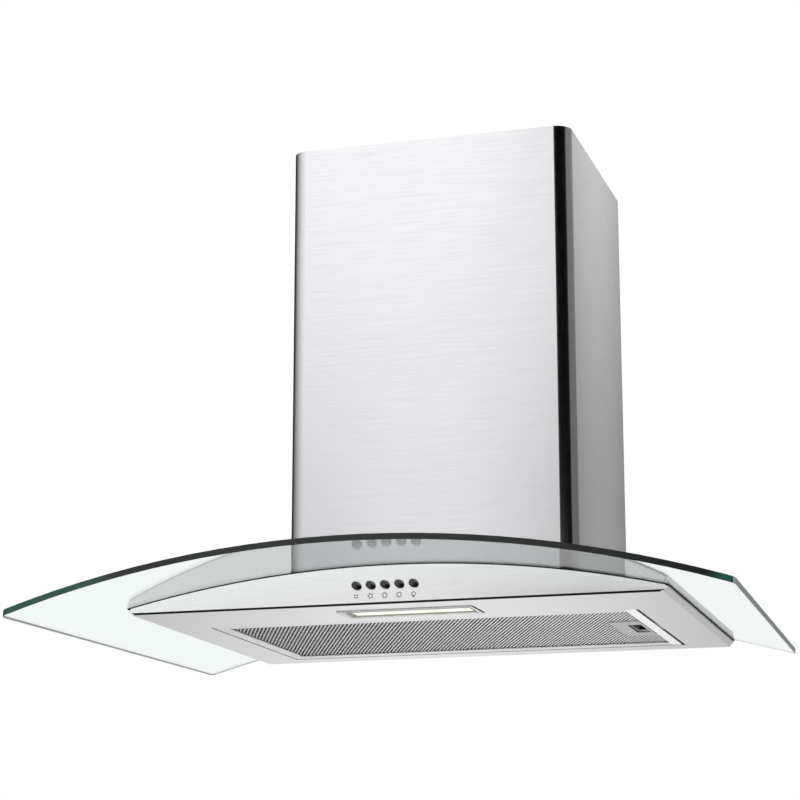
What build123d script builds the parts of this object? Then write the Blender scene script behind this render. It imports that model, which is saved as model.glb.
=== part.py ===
from build123d import *
from math import asin, cos, radians, sin, sqrt
import os

# Curved glass range hood, millimetres.
# X runs along the wall, Y points into the wall (the wall is the plane Y = 0), Z is up.
# The origin is the middle of the hood's back, level with the underside of its body.

# ---- glass canopy ----
glass_width = 600.0  # across the front corners
glass_back_width = 578.0  # along the wall
glass_side_depth = 448.0  # wall to a front corner
glass_mid_depth = 457.0  # wall to the middle of the bowed front edge
glass_thickness = 5.0
glass_radius = 1000.0  # bend of its underside
glass_crown = 33.5  # height of its underside over the middle of the body
glass_front_corner = 6.0
glass_back_corner = 4.0

# ---- body ----
body_width = 456.0  # at the bottom
body_depth = 346.0
side_flare = 0.8  # sideways lean of the body's sides for each millimetre of height
sheet = 0.8  # stainless sheet
gasket_thickness = 1.2
gasket_width = 8.0
film = 0.05  # gap between pieces that are clamped on a curved seat
clearance = 0.3  # gap between pieces that rest on each other and may move

# ---- fascia and seam ----
seam_height = 1.1  # dark joint under the fascia
end_curve = 2.0  # length over which each end of the fascia curls back
end_drop = 0.8  # how far it curls back
upstand_height = 9.0  # flange of the pan behind the fascia

# ---- push buttons ----
button_count = 5
button_pitch = 12.3
button_row_x = -3.1  # middle of the row
button_height = 16.2
button_diameter = 6.3
button_hole = 7.1
button_proud = 5.5  # how far a cap stands out of the fascia
button_travel = 3.0
button_fillet = 1.1
stem_diameter = 4.0
cap_depth = 6.0  # length of a cap behind the fascia's front
stem_length = 3.0
switch_depth = 20.0
switch_margin = 6.0  # switch housing past the outer buttons
switch_half_height = 5.8

# ---- grease filter ----
filter_side = 38.0  # body's side to the filter
filter_back = 27.0  # wall to the filter's rear edge
filter_front = 18.0  # filter to the lamp's frame
filter_corner = 2.0
filter_thickness = 8.0
filter_gap = 1.0  # running gap round it
filter_recess = 0.2  # how far its underside lies above the body's underside
border_side = 11.0
border_front = 12.0
border_back = 16.0
border_corner = 3.0
foil = 0.8  # aluminium of the frame and its mesh
tab_length = 6.0
tab_width = 24.0
tab_spacing = 130.0
slot_columns = 22
slot_rows = 6
slot_width = 4.0
slot_slant = 45.0
media_ribs = 9

# ---- filter latch ----
latch_width = 28.0
latch_height = 86.0
latch_gap = 2.0  # more room at the latch's end of the filter
latch_inset = 12.0  # from the filter's end to the plate
grip_width = 12.0
grip_height = 50.0
grip_corner = 3.5
grip_inset = 2.5  # from the plate's outer edge to the finger opening
tongue_reach = 5.5  # past the filter's end
tongue_width = 30.0
tongue_thickness = 1.4
slide_width = 46.0
slide_rail = 4.0  # edge of the slide beside its finger window

# ---- lamp ----
lamp_width = 117.0
lamp_depth = 44.0
lamp_front = 28.0  # front of the body to the lamp's frame
lamp_flange = 0.5
lamp_x = 4.0
lamp_end_gap = 1.5  # opening in the pan past each end of the bezel
lamp_border = 4.5
lamp_end_border = 2.5
lamp_lens_height = 1.6
lens_thickness = 2.0
lamp_height = 14.0
lamp_wall = 1.0
lamp_taper = 12  # degrees by which the frame narrows towards the lens
led_count = 3
led_pitch = 34.0
led_size = 5.0
led_height = 1.2
led_board_thickness = 1.6

# ---- motor box ----
box_width = 206.0
box_depth = 176.0
box_back = 32.0  # wall to the box
box_top = 238.0
box_flange = 14.0  # foot turned inwards
top_flange = 10.0  # upper edges of the box's front and rear, turned inwards
cutout_gap = 4.0  # glass cut-out past the box
cutout_corner = 8.0
box_screw_inset = 7.0
lid_screw_inset = 13.0  # box's side to the screws of its lid
small_shank = 4.0
small_head = 7.5
small_head_height = 2.2

# ---- glass fixings ----
glass_screw_x = 117.5
glass_screw_y = 66.0  # either side of the box's middle
glass_hole = 8.0
screw_shank = 5.0
screw_head = 9.0
screw_head_height = 2.6
washer_diameter = 13.0
nut_width = 8.0
nut_height = 4.0

# ---- blower ----
axis_z = 140.0
casing_gap = 1.7  # scroll to the side of the motor box
scroll_gap = 7.0  # impeller to the first quarter of the scroll
scroll_growth = 7.0  # added to the radius in each quarter
scroll_width = 110.0  # outside, along the shaft
scroll_wall = 2.0
tongue_x = 10.0  # from the shaft to the outlet's near wall
inlet_step = 3.5  # edge of the inlet inside the ring of blades
inlet_lip = 4.0
outlet_flange = 8.0  # casing flange past the outlet screws
lug_radius = 6.0
lug_thickness = 4.0

# ---- impeller ----
impeller_radius = 58.0
blade_depth = 10.5  # radial depth of the ring of blades
blade_count = 32
blade_thickness = 1.0
blade_lean = 8.0  # angle by which a blade's tip leads its root
blade_bow = 2.2  # how far a blade bows from its chord
impeller_side = 8.0  # casing's outer face to the impeller
ring_thickness = 1.5
disc_thickness = 1.5
hub_radius = 10.0
hub_length = 16.0
nut_radius = 6.0
shaft_radius = 4.0
running_fit = 0.05

# ---- motor ----
motor_radius = 31.0
motor_length = 46.0
motor_fillet = 5.0
lamination_proud = 1.0  # stator stack past the can
motor_neck = 14.0  # radius of the bearing boss at its front
motor_neck_length = 6.0
motor_neck_taper = 6  # degrees
bush_radius = 8.0
bush_height = 3.0
spider_thickness = 2.0
spider_arm = 13.0
spider_arms = 3

# ---- outlet spigot and flaps ----
spigot_radius = 74.5
spigot_wall = 2.0
spigot_height = 42.0  # above its flange
spigot_flange = 3.0
spigot_rim = 4.5  # flange past the tube
spigot_flange_corner = 24.0
outlet_screw_inset_x = 21.0  # edge of the flange to its screws
outlet_screw_inset_y = 19.0
seat_height = 9.0  # flap seat above the flange
seat_width = 3.5
seat_thickness = 1.5
flap_thickness = 1.5
flap_gap = 1.2
pin_radius = 2.0
knuckle_radius = 3.3
knuckle_length = 16.0

# ---- chimney ----
chimney_width = 264.0
chimney_depth = 225.0
chimney_top = 447.5
chimney_bend = 14.0
chimney_lip = 12.0  # rear edge turned inwards
chimney_gap = 0.5  # between the two covers
glass_gap = 0.5  # lower cover above the glass
upper_bottom = 52.0
upper_drop = 4.0  # top of the inner cover below the outer one's
vent_rows = 5
vent_columns = 3
vent_length = 34.0
vent_width = 4.0
vent_pitch = 9.0
vent_top = 60.0  # top of the inner cover to the first slot

# ---- wall bracket, clips, electrics ----
bracket_height = 30.0
bracket_below = 12.0  # top of the inner cover to the bracket
bracket_ear = 26.0
bracket_sheet = 1.2
bracket_hole = 6.0
bracket_spacing = 180.0
bracket_boss = 18.0
clip_width = 30.0
clip_foot = 12.0
wall_hole = 8.0
wall_hole_spacing = 150.0
wall_hole_height = 17.0
grommet_hole = 14.0
grommet_bore = 8.0
grommet_head = 20.0
grommet_lip = 2.4
grommet_taper = 15  # degrees
grommet_inset = 2.0  # box's side to the grommet's head
grommet_y = 54.0
junction_width = 60.0
junction_height = 45.0
junction_depth = 26.0
junction_wall = 1.5
junction_corner = 3.0
lid_fillet = 0.6
junction_bottom = 120.0
junction_y = 125.0
capacitor_radius = 14.0
capacitor_length = 50.0
capacitor_fillet = 1.5
capacitor_y = 182.0

# ---- worked out from the sizes above ----
arch_centre = glass_crown - glass_radius  # height of the axis that every arch shares
gasket_high = glass_radius - film
gasket_low = gasket_high - gasket_thickness + film
plate_high = gasket_low - film
plate_low = plate_high - sheet
glass_top_radius = glass_radius + glass_thickness

box_middle = box_back + box_depth / 2
cutout_half = box_width / 2 + cutout_gap
filter_width = body_width - 2 * filter_side
filter_depth = body_depth - lamp_front - lamp_depth - filter_front - filter_back
filter_middle = filter_back + filter_depth / 2
filter_low = filter_recess
filter_high = filter_recess + filter_thickness
lamp_middle = body_depth - lamp_front - lamp_depth / 2
seam_low = sheet
seam_high = sheet + seam_height
scroll_radius = impeller_radius + scroll_gap  # first quarter of the scroll, from the tongue
impeller_width = scroll_width - 2 * impeller_side
inlet_radius = impeller_radius - blade_depth - inlet_step
spider_reach = inlet_radius + bush_radius  # shaft to the bushes
spigot_flange_half = spigot_radius + spigot_rim
outlet_screw_x = spigot_flange_half - outlet_screw_inset_x
outlet_screw_y = spigot_flange_half - outlet_screw_inset_y
deep = 500.0  # longer than any cut needs


def arch_height(x, radius):
    return arch_centre + sqrt(radius**2 - x**2)


def arch_slab(half_width, low_radius, high_radius, depth):
    """Space between two of the hood's concentric arches, from the wall forwards."""
    corner = [
        (side * half_width, arch_height(half_width, radius))
        for side, radius in ((-1, low_radius), (1, low_radius), (1, high_radius), (-1, high_radius))
    ]
    with BuildPart() as slab:
        with BuildSketch(Plane.XZ):
            with BuildLine():
                ThreePointArc(corner[0], (0, arch_height(0, low_radius)), corner[1])
                Line(corner[1], corner[2])
                ThreePointArc(corner[2], (0, arch_height(0, high_radius)), corner[3])
                Line(corner[3], corner[0])
            make_face()
        extrude(amount=depth)
    return slab.part


def body_form(radius):
    """Solid under one arch and between the body's leaning sides, open at neither end."""
    half = body_width / 2
    rise = glass_crown + sheet
    with BuildPart() as form:
        with BuildSketch(Plane.XZ):
            with BuildLine():
                Polyline(
                    (-half, 0),
                    (half, 0),
                    (half + side_flare * rise, rise),
                    (-half - side_flare * rise, rise),
                    close=True,
                )
            make_face()
        extrude(amount=body_depth)
        under_arch = arch_slab(glass_width / 2, radius - 4 * glass_crown, radius, body_depth)
        add(under_arch, mode=Mode.INTERSECT)
    return form.part


def seat_plane(x, y, radius):
    """Plane that touches an arch on the line that is square to the glass at x."""
    lean = asin(x / glass_radius)
    origin = (radius * sin(lean), y, arch_centre + radius * cos(lean))
    return Plane(origin=origin, x_dir=(cos(lean), 0, -sin(lean)), z_dir=(sin(lean), 0, cos(lean)))


def chimney_section(width, front, back, bend, lip):
    """Folded cover seen from above: a front, two sides and two lips along the wall."""
    with BuildSketch(Plane.XY) as section:
        with Locations((0, -(front + back) / 2)):
            Rectangle(width, front - back)
        fillet(section.vertices().group_by(Axis.Y)[0], bend)
        offset(amount=-sheet, mode=Mode.SUBTRACT)
        with Locations((0, -back)):
            Rectangle(width - 2 * lip, 4 * sheet, mode=Mode.SUBTRACT)
    return section.sketch


def rounded_panel(width, depth, corner, middle):
    with BuildSketch(Plane.XY) as panel:
        with Locations((0, -middle)):
            RectangleRounded(width, depth, corner)
    return panel.sketch


os.makedirs("parts", exist_ok=True)


def finish(piece, name):
    piece.part.label = name
    export_step(piece.part, f"parts/{name}.step")


# ================= canopy =================

glass_slab = arch_slab(glass_width / 2 + 1, glass_radius, glass_top_radius, deep)
glass_screw_points = [
    (side * glass_screw_x, -box_middle + row * glass_screw_y) for side in (-1, 1) for row in (-1, 1)
]

with BuildPart() as glass_canopy:
    with BuildSketch(Plane.XY.offset(-glass_crown)) as plan:
        with BuildLine():
            back_left = (-glass_back_width / 2, 0)
            back_right = (glass_back_width / 2, 0)
            front_right = (glass_width / 2, -glass_side_depth)
            front_left = (-glass_width / 2, -glass_side_depth)
            Line(back_left, back_right)
            Line(back_right, front_right)
            ThreePointArc(front_right, (0, -glass_mid_depth), front_left)
            Line(front_left, back_left)
        make_face()
        fillet(plan.vertices().group_by(Axis.Y)[0], glass_front_corner)
        fillet(plan.vertices().group_by(Axis.Y)[-1], glass_back_corner)
        with Locations((0, -box_middle)):
            RectangleRounded(
                2 * cutout_half, box_depth + 2 * cutout_gap, cutout_corner, mode=Mode.SUBTRACT
            )
    extrude(amount=3 * glass_crown)
    add(glass_slab, mode=Mode.INTERSECT)
    for x, y in glass_screw_points:
        with Locations(seat_plane(x, y, glass_top_radius)):
            Hole(glass_hole / 2, glass_thickness + 1)
finish(glass_canopy, "glass_canopy")

gasket_slab = arch_slab(glass_width / 2, gasket_low, gasket_high, body_depth)
gasket_form = body_form(gasket_high)
with BuildPart() as glass_gasket:
    add(gasket_slab)
    add(gasket_form, mode=Mode.INTERSECT)
    with BuildSketch(Plane.XY):
        with Locations((0, -body_depth / 2)):
            Rectangle(body_width - 2 * gasket_width, body_depth - 2 * gasket_width)
    extrude(amount=2 * glass_crown, mode=Mode.SUBTRACT)
finish(glass_gasket, "glass_gasket")

with BuildPart() as glass_washers:
    for x, y in glass_screw_points:
        over_glass = seat_plane(x, y, glass_top_radius).offset(film)
        over_plate = seat_plane(x, y, plate_high).offset(film)
        with BuildSketch(over_glass, over_plate):
            Circle(washer_diameter / 2)
            Circle(glass_hole / 2 - film, mode=Mode.SUBTRACT)
        extrude(amount=gasket_thickness - 2 * film)
finish(glass_washers, "glass_washers")

with BuildPart() as glass_screws:
    for x, y in glass_screw_points:
        head_plane = seat_plane(x, y, glass_top_radius + gasket_thickness)
        with BuildSketch(head_plane):
            Circle(screw_head / 2)
        extrude(amount=screw_head_height)
        with BuildSketch(head_plane):
            Circle(screw_shank / 2)
        extrude(amount=-(glass_thickness + 2 * gasket_thickness + sheet + nut_height + 1))
finish(glass_screws, "glass_screws")

with BuildPart() as glass_nuts:
    for x, y in glass_screw_points:
        with BuildSketch(seat_plane(x, y, plate_low).offset(-film)):
            RegularPolygon(nut_width / 2, 6, major_radius=False)
            Circle(screw_shank / 2 + film, mode=Mode.SUBTRACT)
        extrude(amount=-nut_height)
finish(glass_nuts, "glass_nuts")

# ================= body =================

pan_form = body_form(plate_low - film)
fascia_form = body_form(plate_high)
pan_front = body_depth - end_drop  # where the pan's sides meet the fascia
fascia_back = body_depth - sheet
upstand_front = fascia_back - film

with BuildPart() as body_pan:
    add(pan_form)
    with BuildSketch(Plane.XZ.offset(sheet)):
        with BuildLine():
            half = body_width / 2 - sheet * (sqrt(1 + side_flare**2) - side_flare)
            rise = glass_crown + sheet
            Polyline(
                (-half, sheet),
                (half, sheet),
                (half + side_flare * rise, sheet + rise),
                (-half - side_flare * rise, sheet + rise),
                close=True,
            )
        make_face()
    extrude(amount=upstand_front - 2 * sheet, mode=Mode.SUBTRACT)
    with BuildSketch(Plane.XZ.offset(upstand_front)):
        with Locations((0, deep / 2 + seam_low)):
            Rectangle(2 * glass_width, deep)
    extrude(amount=deep, mode=Mode.SUBTRACT)
    with BuildSketch(Plane.XZ.offset(upstand_front - 2 * sheet)):
        with Locations((0, deep / 2 + upstand_height)):
            Rectangle(2 * glass_width, deep)
    extrude(amount=deep, mode=Mode.SUBTRACT)
    with BuildSketch(Plane.XZ.offset(pan_front - sheet - film)):
        with Locations((-body_width / 2, deep / 2 + seam_low), (body_width / 2, deep / 2 + seam_low)):
            Rectangle(4 * end_curve, deep)
    extrude(amount=deep, mode=Mode.SUBTRACT)
    with BuildSketch(Plane.XY):
        with Locations((0, -filter_middle)):
            Rectangle(filter_width + 2 * filter_gap, filter_depth + 2 * filter_gap)
        with Locations((lamp_x, -lamp_middle)):
            Rectangle(lamp_width + 2 * lamp_end_gap, lamp_depth - lamp_border)
    extrude(amount=sheet, mode=Mode.SUBTRACT)
    with BuildSketch(Plane.XZ):
        with Locations((0, wall_hole_height)):
            with GridLocations(wall_hole_spacing, 0, 2, 1):
                Circle(wall_hole / 2)
    extrude(amount=sheet, mode=Mode.SUBTRACT)
finish(body_pan, "body_pan")

with BuildPart() as front_fascia:
    with BuildSketch(Plane.XY.offset(seam_high)):
        with BuildLine():
            flat = body_width / 2 + side_flare * seam_high - end_curve + end_drop
            tip = flat + end_curve
            outer = Line((-flat, -body_depth), (flat, -body_depth))
            right = TangentArc(outer @ 1, (tip, -pan_front), tangent=(1, 0))
            left = TangentArc(outer @ 0, (-tip, -pan_front), tangent=(-1, 0))
            Line(right @ 1, (tip, -pan_front + sheet))
            Line(left @ 1, (-tip, -pan_front + sheet))
            inner_right = TangentArc((flat, -fascia_back), (tip, -pan_front + sheet), tangent=(1, 0))
            inner_left = TangentArc((-flat, -fascia_back), (-tip, -pan_front + sheet), tangent=(-1, 0))
            Line(inner_left @ 0, inner_right @ 0)
        make_face()
    extrude(amount=glass_crown)
    add(fascia_form, mode=Mode.INTERSECT)
    with BuildSketch(Plane.XZ.offset(fascia_back)):
        with Locations((button_row_x, button_height)):
            with GridLocations(button_pitch, 0, button_count, 1):
                Circle(button_hole / 2)
    extrude(amount=sheet, mode=Mode.SUBTRACT)
finish(front_fascia, "front_fascia")

with BuildPart() as fascia_seal:
    with BuildSketch(Plane.XZ.offset(upstand_front + film)):
        with Locations((0, (seam_low + seam_high) / 2)):
            Rectangle(body_width - 2 * end_curve, seam_height - 2 * film)
    extrude(amount=sheet / 2)
finish(fascia_seal, "fascia_seal")

box_inner_width = box_width - 2 * sheet
box_inner_depth = box_depth - 2 * sheet
foot_opening = (box_inner_width - 2 * box_flange, box_inner_depth - 2 * box_flange)
box_screw_x = box_inner_width / 2 - box_screw_inset
box_screw_y = box_inner_depth / 2 - box_screw_inset
box_screw_points = [
    (side * box_screw_x, -box_middle + row * box_screw_y) for side in (-1, 1) for row in (-1, 1)
]
plate_slab = arch_slab(glass_width / 2, plate_low, plate_high, body_depth)
with BuildPart() as top_plate:
    add(plate_slab)
    add(fascia_form, mode=Mode.INTERSECT)
    with BuildSketch(Plane.XY):
        with Locations((0, -body_depth)):
            Rectangle(2 * glass_width, 2 * (body_depth - pan_front + sheet + film))
        add(rounded_panel(*foot_opening, cutout_corner, box_middle))
    extrude(amount=2 * glass_crown, mode=Mode.SUBTRACT)
    for x, y in glass_screw_points:
        with Locations(seat_plane(x, y, plate_high)):
            Hole(screw_shank / 2 + film, 3 * sheet)
    for x, y in box_screw_points:
        with Locations(seat_plane(x, y, plate_high)):
            Hole(small_shank / 2 + film, 3 * sheet)
finish(top_plate, "top_plate")

# ================= lamp =================

lamp_low = -lamp_flange
lens_low = lamp_lens_height
lens_high = lens_low + lens_thickness
lamp_body_width = lamp_width - lamp_end_border
lamp_body_depth = lamp_depth - lamp_border

with BuildPart() as lamp_bezel:
    with BuildSketch(Plane.XY.offset(lamp_low)):
        with Locations((lamp_x, -lamp_middle)):
            Rectangle(lamp_width, lamp_depth)
    extrude(amount=lamp_flange)
    with BuildSketch(Plane.XY.offset(lamp_low)):
        with Locations((lamp_x, -lamp_middle)):
            Rectangle(lamp_body_width - 2 * film, lamp_body_depth - 2 * film)
    extrude(amount=lamp_flange + lens_high)
    with BuildSketch(Plane.XY.offset(lamp_low)):
        with Locations((lamp_x, -lamp_middle)):
            Rectangle(lamp_width - 2 * lamp_end_border, lamp_depth - 2 * lamp_border)
    extrude(amount=lamp_flange + lens_low, taper=lamp_taper, mode=Mode.SUBTRACT)
    with BuildSketch(Plane.XY.offset(lens_low)):
        with Locations((lamp_x, -lamp_middle)):
            Rectangle(lamp_body_width - 2 * lamp_wall, lamp_body_depth - 2 * lamp_wall)
    extrude(amount=deep, mode=Mode.SUBTRACT)
finish(lamp_bezel, "lamp_bezel")

with BuildPart() as lamp_lens:
    with BuildSketch(Plane.XY.offset(lens_low + film)):
        with Locations((lamp_x, -lamp_middle)):
            lens_gap = 2 * lamp_wall + 4 * film
            Rectangle(lamp_body_width - lens_gap, lamp_body_depth - lens_gap)
    extrude(amount=lens_thickness - film)
finish(lamp_lens, "lamp_lens")

with BuildPart() as lamp_tray:
    with BuildSketch(Plane.XY.offset(lens_high + film)):
        with Locations((lamp_x, -lamp_middle)):
            Rectangle(lamp_body_width - 2 * film, lamp_body_depth - 2 * film)
    extrude(amount=lamp_height - lens_high)
    offset(amount=-sheet, openings=lamp_tray.faces().sort_by(Axis.Z)[0], kind=Kind.INTERSECTION)
finish(lamp_tray, "lamp_tray")

board_high = lamp_height - sheet
with BuildPart() as led_board:
    with BuildSketch(Plane.XY.offset(board_high)):
        with Locations((lamp_x, -lamp_middle)):
            Rectangle(led_count * led_pitch, lamp_depth / 2)
    extrude(amount=-led_board_thickness)
    with BuildSketch(Plane.XY.offset(board_high - led_board_thickness)):
        with Locations((lamp_x, -lamp_middle)):
            with GridLocations(led_pitch, 0, led_count, 1):
                Rectangle(led_size, led_size)
    extrude(amount=-led_height)
finish(led_board, "led_board")

# ================= push buttons =================

first_button = button_row_x - (button_count - 1) / 2 * button_pitch
button_places = [first_button + number * button_pitch for number in range(button_count)]
cap_back = body_depth - cap_depth
switch_front = fascia_back - film

with BuildPart() as switch_housing:
    with BuildSketch(Plane.XZ.offset(switch_front)):
        with Locations((button_row_x, button_height)):
            Rectangle((button_count - 1) * button_pitch + 2 * switch_margin, 2 * switch_half_height)
    extrude(amount=-switch_depth)
    guides = [Plane((x, -switch_front, button_height), z_dir=(0, -1, 0)) for x in button_places]
    with Locations(guides):
        CounterBoreHole(
            radius=stem_diameter / 2 + clearance,
            counter_bore_radius=button_hole / 2,
            counter_bore_depth=switch_front - cap_back + button_travel + clearance,
            depth=switch_front - cap_back + button_travel + stem_length + 2 * clearance,
        )
finish(switch_housing, "switch_housing")

for number, x in enumerate(button_places, start=1):
    with BuildPart() as push_button:
        with BuildSketch(Plane.XZ.offset(cap_back)):
            with Locations((x, button_height)):
                Circle(button_diameter / 2)
        extrude(amount=cap_depth + button_proud)
        fillet(push_button.edges().sort_by(Axis.Y)[0], button_fillet)
        with BuildSketch(Plane.XZ.offset(cap_back)):
            with Locations((x, button_height)):
                Circle(stem_diameter / 2)
        extrude(amount=-stem_length)
    finish(push_button, f"push_button_{number}")

# ================= grease filter =================

filter_half = filter_width / 2
filter_right = filter_half - latch_gap
frame_width = filter_half + filter_right
frame_x = -latch_gap / 2
mesh_inner_width = filter_width - 2 * border_side
mesh_front = filter_back + filter_depth - border_front
mesh_back = filter_back + border_back
latch_right = filter_half - latch_inset
latch_left = latch_right - latch_width
grip_right = latch_right - grip_inset
grip_left = grip_right - grip_width
tongue_low = sheet + clearance + film
tongue_high = tongue_low + tongue_thickness
latch_top = filter_high - foil
pocket_left = latch_left - clearance
slot_height = tongue_thickness + 2 * clearance
wing_right = filter_right - foil - film


def latch_pocket(height):
    """Space that the latch takes out of the filter's layers, up from the given height."""
    with BuildPart() as pocket:
        with BuildSketch(Plane.XY.offset(height)):
            with Locations(((pocket_left + filter_half) / 2, -filter_middle)):
                Rectangle(filter_half - pocket_left, latch_height + 2 * clearance)
        extrude(amount=deep)
    return pocket.part


pocket = latch_pocket(filter_low - 1)

with BuildPart() as filter_frame:
    with BuildSketch(Plane.XY.offset(filter_low)):
        with Locations((frame_x, -filter_middle)):
            RectangleRounded(frame_width, filter_depth, filter_corner)
        with Locations((0, -(mesh_front + mesh_back) / 2)):
            mesh_inner_depth = mesh_front - mesh_back
            RectangleRounded(mesh_inner_width, mesh_inner_depth, border_corner, mode=Mode.SUBTRACT)
    extrude(amount=filter_thickness)
    with BuildSketch(Plane.XY.offset(filter_low + foil)):
        with Locations((frame_x, -filter_middle)):
            Rectangle(frame_width - 2 * foil, filter_depth - 2 * foil)
    extrude(amount=filter_thickness - 2 * foil, mode=Mode.SUBTRACT)
    with BuildSketch(Plane.YZ.offset(filter_right - 2 * foil)):
        with Locations((-filter_middle, (tongue_low + tongue_high) / 2)):
            Rectangle(tongue_width + 2 * clearance, slot_height)
    extrude(amount=4 * foil, mode=Mode.SUBTRACT)
    with BuildSketch(Plane.XY.offset(tongue_low)):
        with Locations((-filter_half - tab_length / 2 + foil / 2, -filter_middle)):
            with GridLocations(0, tab_spacing, 1, 2):
                Rectangle(tab_length + foil, tab_width)
    extrude(amount=tongue_thickness)
finish(filter_frame, "filter_frame")

layer_width = frame_width - 2 * foil - 2 * film
layer_depth = filter_depth - 2 * foil - 2 * film
slot_field_width = mesh_inner_width - 4 * slot_width
slot_field_depth = mesh_front - mesh_back - 3 * slot_width
slot_step_x = slot_field_width / slot_columns
slot_step_y = slot_field_depth / slot_rows
slot_run = (slot_step_y - slot_width) / sin(radians(slot_slant))


def slotted_sheet(height, slant):
    """Expanded metal: one sheet opened by rows of slanted slots."""
    with BuildPart() as layer:
        with BuildSketch(Plane.XY.offset(height)):
            with Locations((frame_x, -filter_middle)):
                Rectangle(layer_width, layer_depth)
            with Locations((0, -(mesh_front + mesh_back) / 2)):
                with GridLocations(slot_step_x, slot_step_y, slot_columns, slot_rows):
                    Rectangle(slot_run, slot_width, rotation=slant, mode=Mode.SUBTRACT)
        extrude(amount=foil)
        add(pocket, mode=Mode.SUBTRACT)
    return layer


filter_mesh = slotted_sheet(filter_low + foil + film, slot_slant)
finish(filter_mesh, "filter_mesh")
filter_back_mesh = slotted_sheet(filter_high - 2 * foil - film, -slot_slant)
finish(filter_back_mesh, "filter_back_mesh")

media_low = filter_low + 2 * foil + 2 * film
media_high = filter_high - 2 * foil - 2 * film
with BuildPart() as filter_media:
    with BuildSketch(Plane.XZ.offset(filter_back + foil + film)):
        with BuildLine():
            wave_pitch = layer_width / (2 * media_ribs)
            media_start = frame_x - layer_width / 2
            ridge = [
                (media_start + step * wave_pitch, media_high if step % 2 else media_low + foil)
                for step in range(2 * media_ribs + 1)
            ]
            valley = [(x, z - foil) for x, z in reversed(ridge)]
            Polyline(*ridge, *valley, close=True)
        make_face()
    extrude(amount=layer_depth)
    add(pocket, mode=Mode.SUBTRACT)
finish(filter_media, "filter_media")

with BuildPart() as latch_plate:
    with BuildSketch(Plane.XY.offset(filter_low)):
        with Locations(((latch_left + latch_right) / 2, -filter_middle)):
            Rectangle(latch_width, latch_height)
    extrude(amount=latch_top - filter_low)
    with BuildSketch(Plane.XY.offset(filter_low + foil)):
        with Locations(((latch_left + latch_right) / 2 + foil, -filter_middle)):
            Rectangle(latch_width, latch_height - 2 * foil)
    extrude(amount=deep, mode=Mode.SUBTRACT)
    with BuildSketch(Plane.XY):
        with Locations(((grip_left + grip_right) / 2, -filter_middle)):
            RectangleRounded(grip_width, grip_height, grip_corner)
    extrude(amount=deep, mode=Mode.SUBTRACT)
    with BuildSketch(Plane.XY.offset(filter_low + foil)):
        with Locations(((latch_right + wing_right - foil) / 2, -filter_middle)):
            with GridLocations(0, latch_height - 2 * foil, 1, 2):
                Rectangle(wing_right - latch_right + foil, 2 * foil)
    extrude(amount=foil)
finish(latch_plate, "latch_plate")

lip_left = grip_left + foil
lip_right = lip_left + tongue_thickness
tongue_end = filter_half + tongue_reach
with BuildPart() as latch_slide:
    with BuildSketch(Plane.XY.offset(tongue_low)):
        with Locations(((lip_left + latch_right) / 2, -filter_middle)):
            Rectangle(latch_right - lip_left, slide_width)
        with Locations(((lip_left + tongue_end) / 2, -filter_middle)):
            Rectangle(tongue_end - lip_left, tongue_width)
        with Locations(((lip_right + grip_right) / 2, -filter_middle)):
            Rectangle(grip_right - lip_right, slide_width - 2 * slide_rail, mode=Mode.SUBTRACT)
    extrude(amount=tongue_thickness)
    tongue_edges = latch_slide.edges().filter_by(Axis.Y).group_by(Axis.X)[-1]
    chamfer(tongue_edges.sort_by(Axis.Z)[0], tongue_thickness / 2)
    with BuildSketch(Plane.XY.offset(tongue_low)):
        with Locations(((lip_left + lip_right) / 2, -filter_middle)):
            Rectangle(lip_right - lip_left, slide_width)
    extrude(amount=latch_top - clearance - tongue_low)
    lip_edges = latch_slide.edges().filter_by(Axis.Y).group_by(Axis.X)[0]
    fillet(lip_edges.sort_by(Axis.Z)[0], tongue_thickness / 2)
finish(latch_slide, "latch_slide")

# ================= motor box =================

box_foot = plate_high + film
wall_top = box_top - sheet - film
lid_screw_x = box_width / 2 - lid_screw_inset
lid_screw_y = (box_inner_depth - top_flange) / 2
lid_screw_points = [
    (side * lid_screw_x, -box_middle + row * lid_screw_y) for side in (-1, 1) for row in (-1, 1)
]
outlet_screw_points = [
    (side * outlet_screw_x, -box_middle + row * outlet_screw_y) for side in (-1, 1) for row in (-1, 1)
]
grommet_x = -box_width / 2 + grommet_head / 2 + grommet_inset
clip_top = upper_bottom - clearance
clip_screw_height = clip_top - clip_foot / 2

with BuildPart() as foot:
    add(arch_slab(box_width / 2, box_foot, box_foot + sheet, deep))
    with BuildSketch(Plane.XY):
        with Locations((0, -box_middle)):
            Rectangle(box_width - sheet, box_depth - sheet)
            RectangleRounded(*foot_opening, cutout_corner, mode=Mode.SUBTRACT)
    extrude(amount=3 * glass_crown, mode=Mode.INTERSECT)
    for x, y in box_screw_points:
        with BuildSketch(seat_plane(x, y, box_foot).offset(-sheet)):
            Circle(small_shank / 2 + film)
        extrude(amount=4 * sheet, mode=Mode.SUBTRACT)

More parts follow.
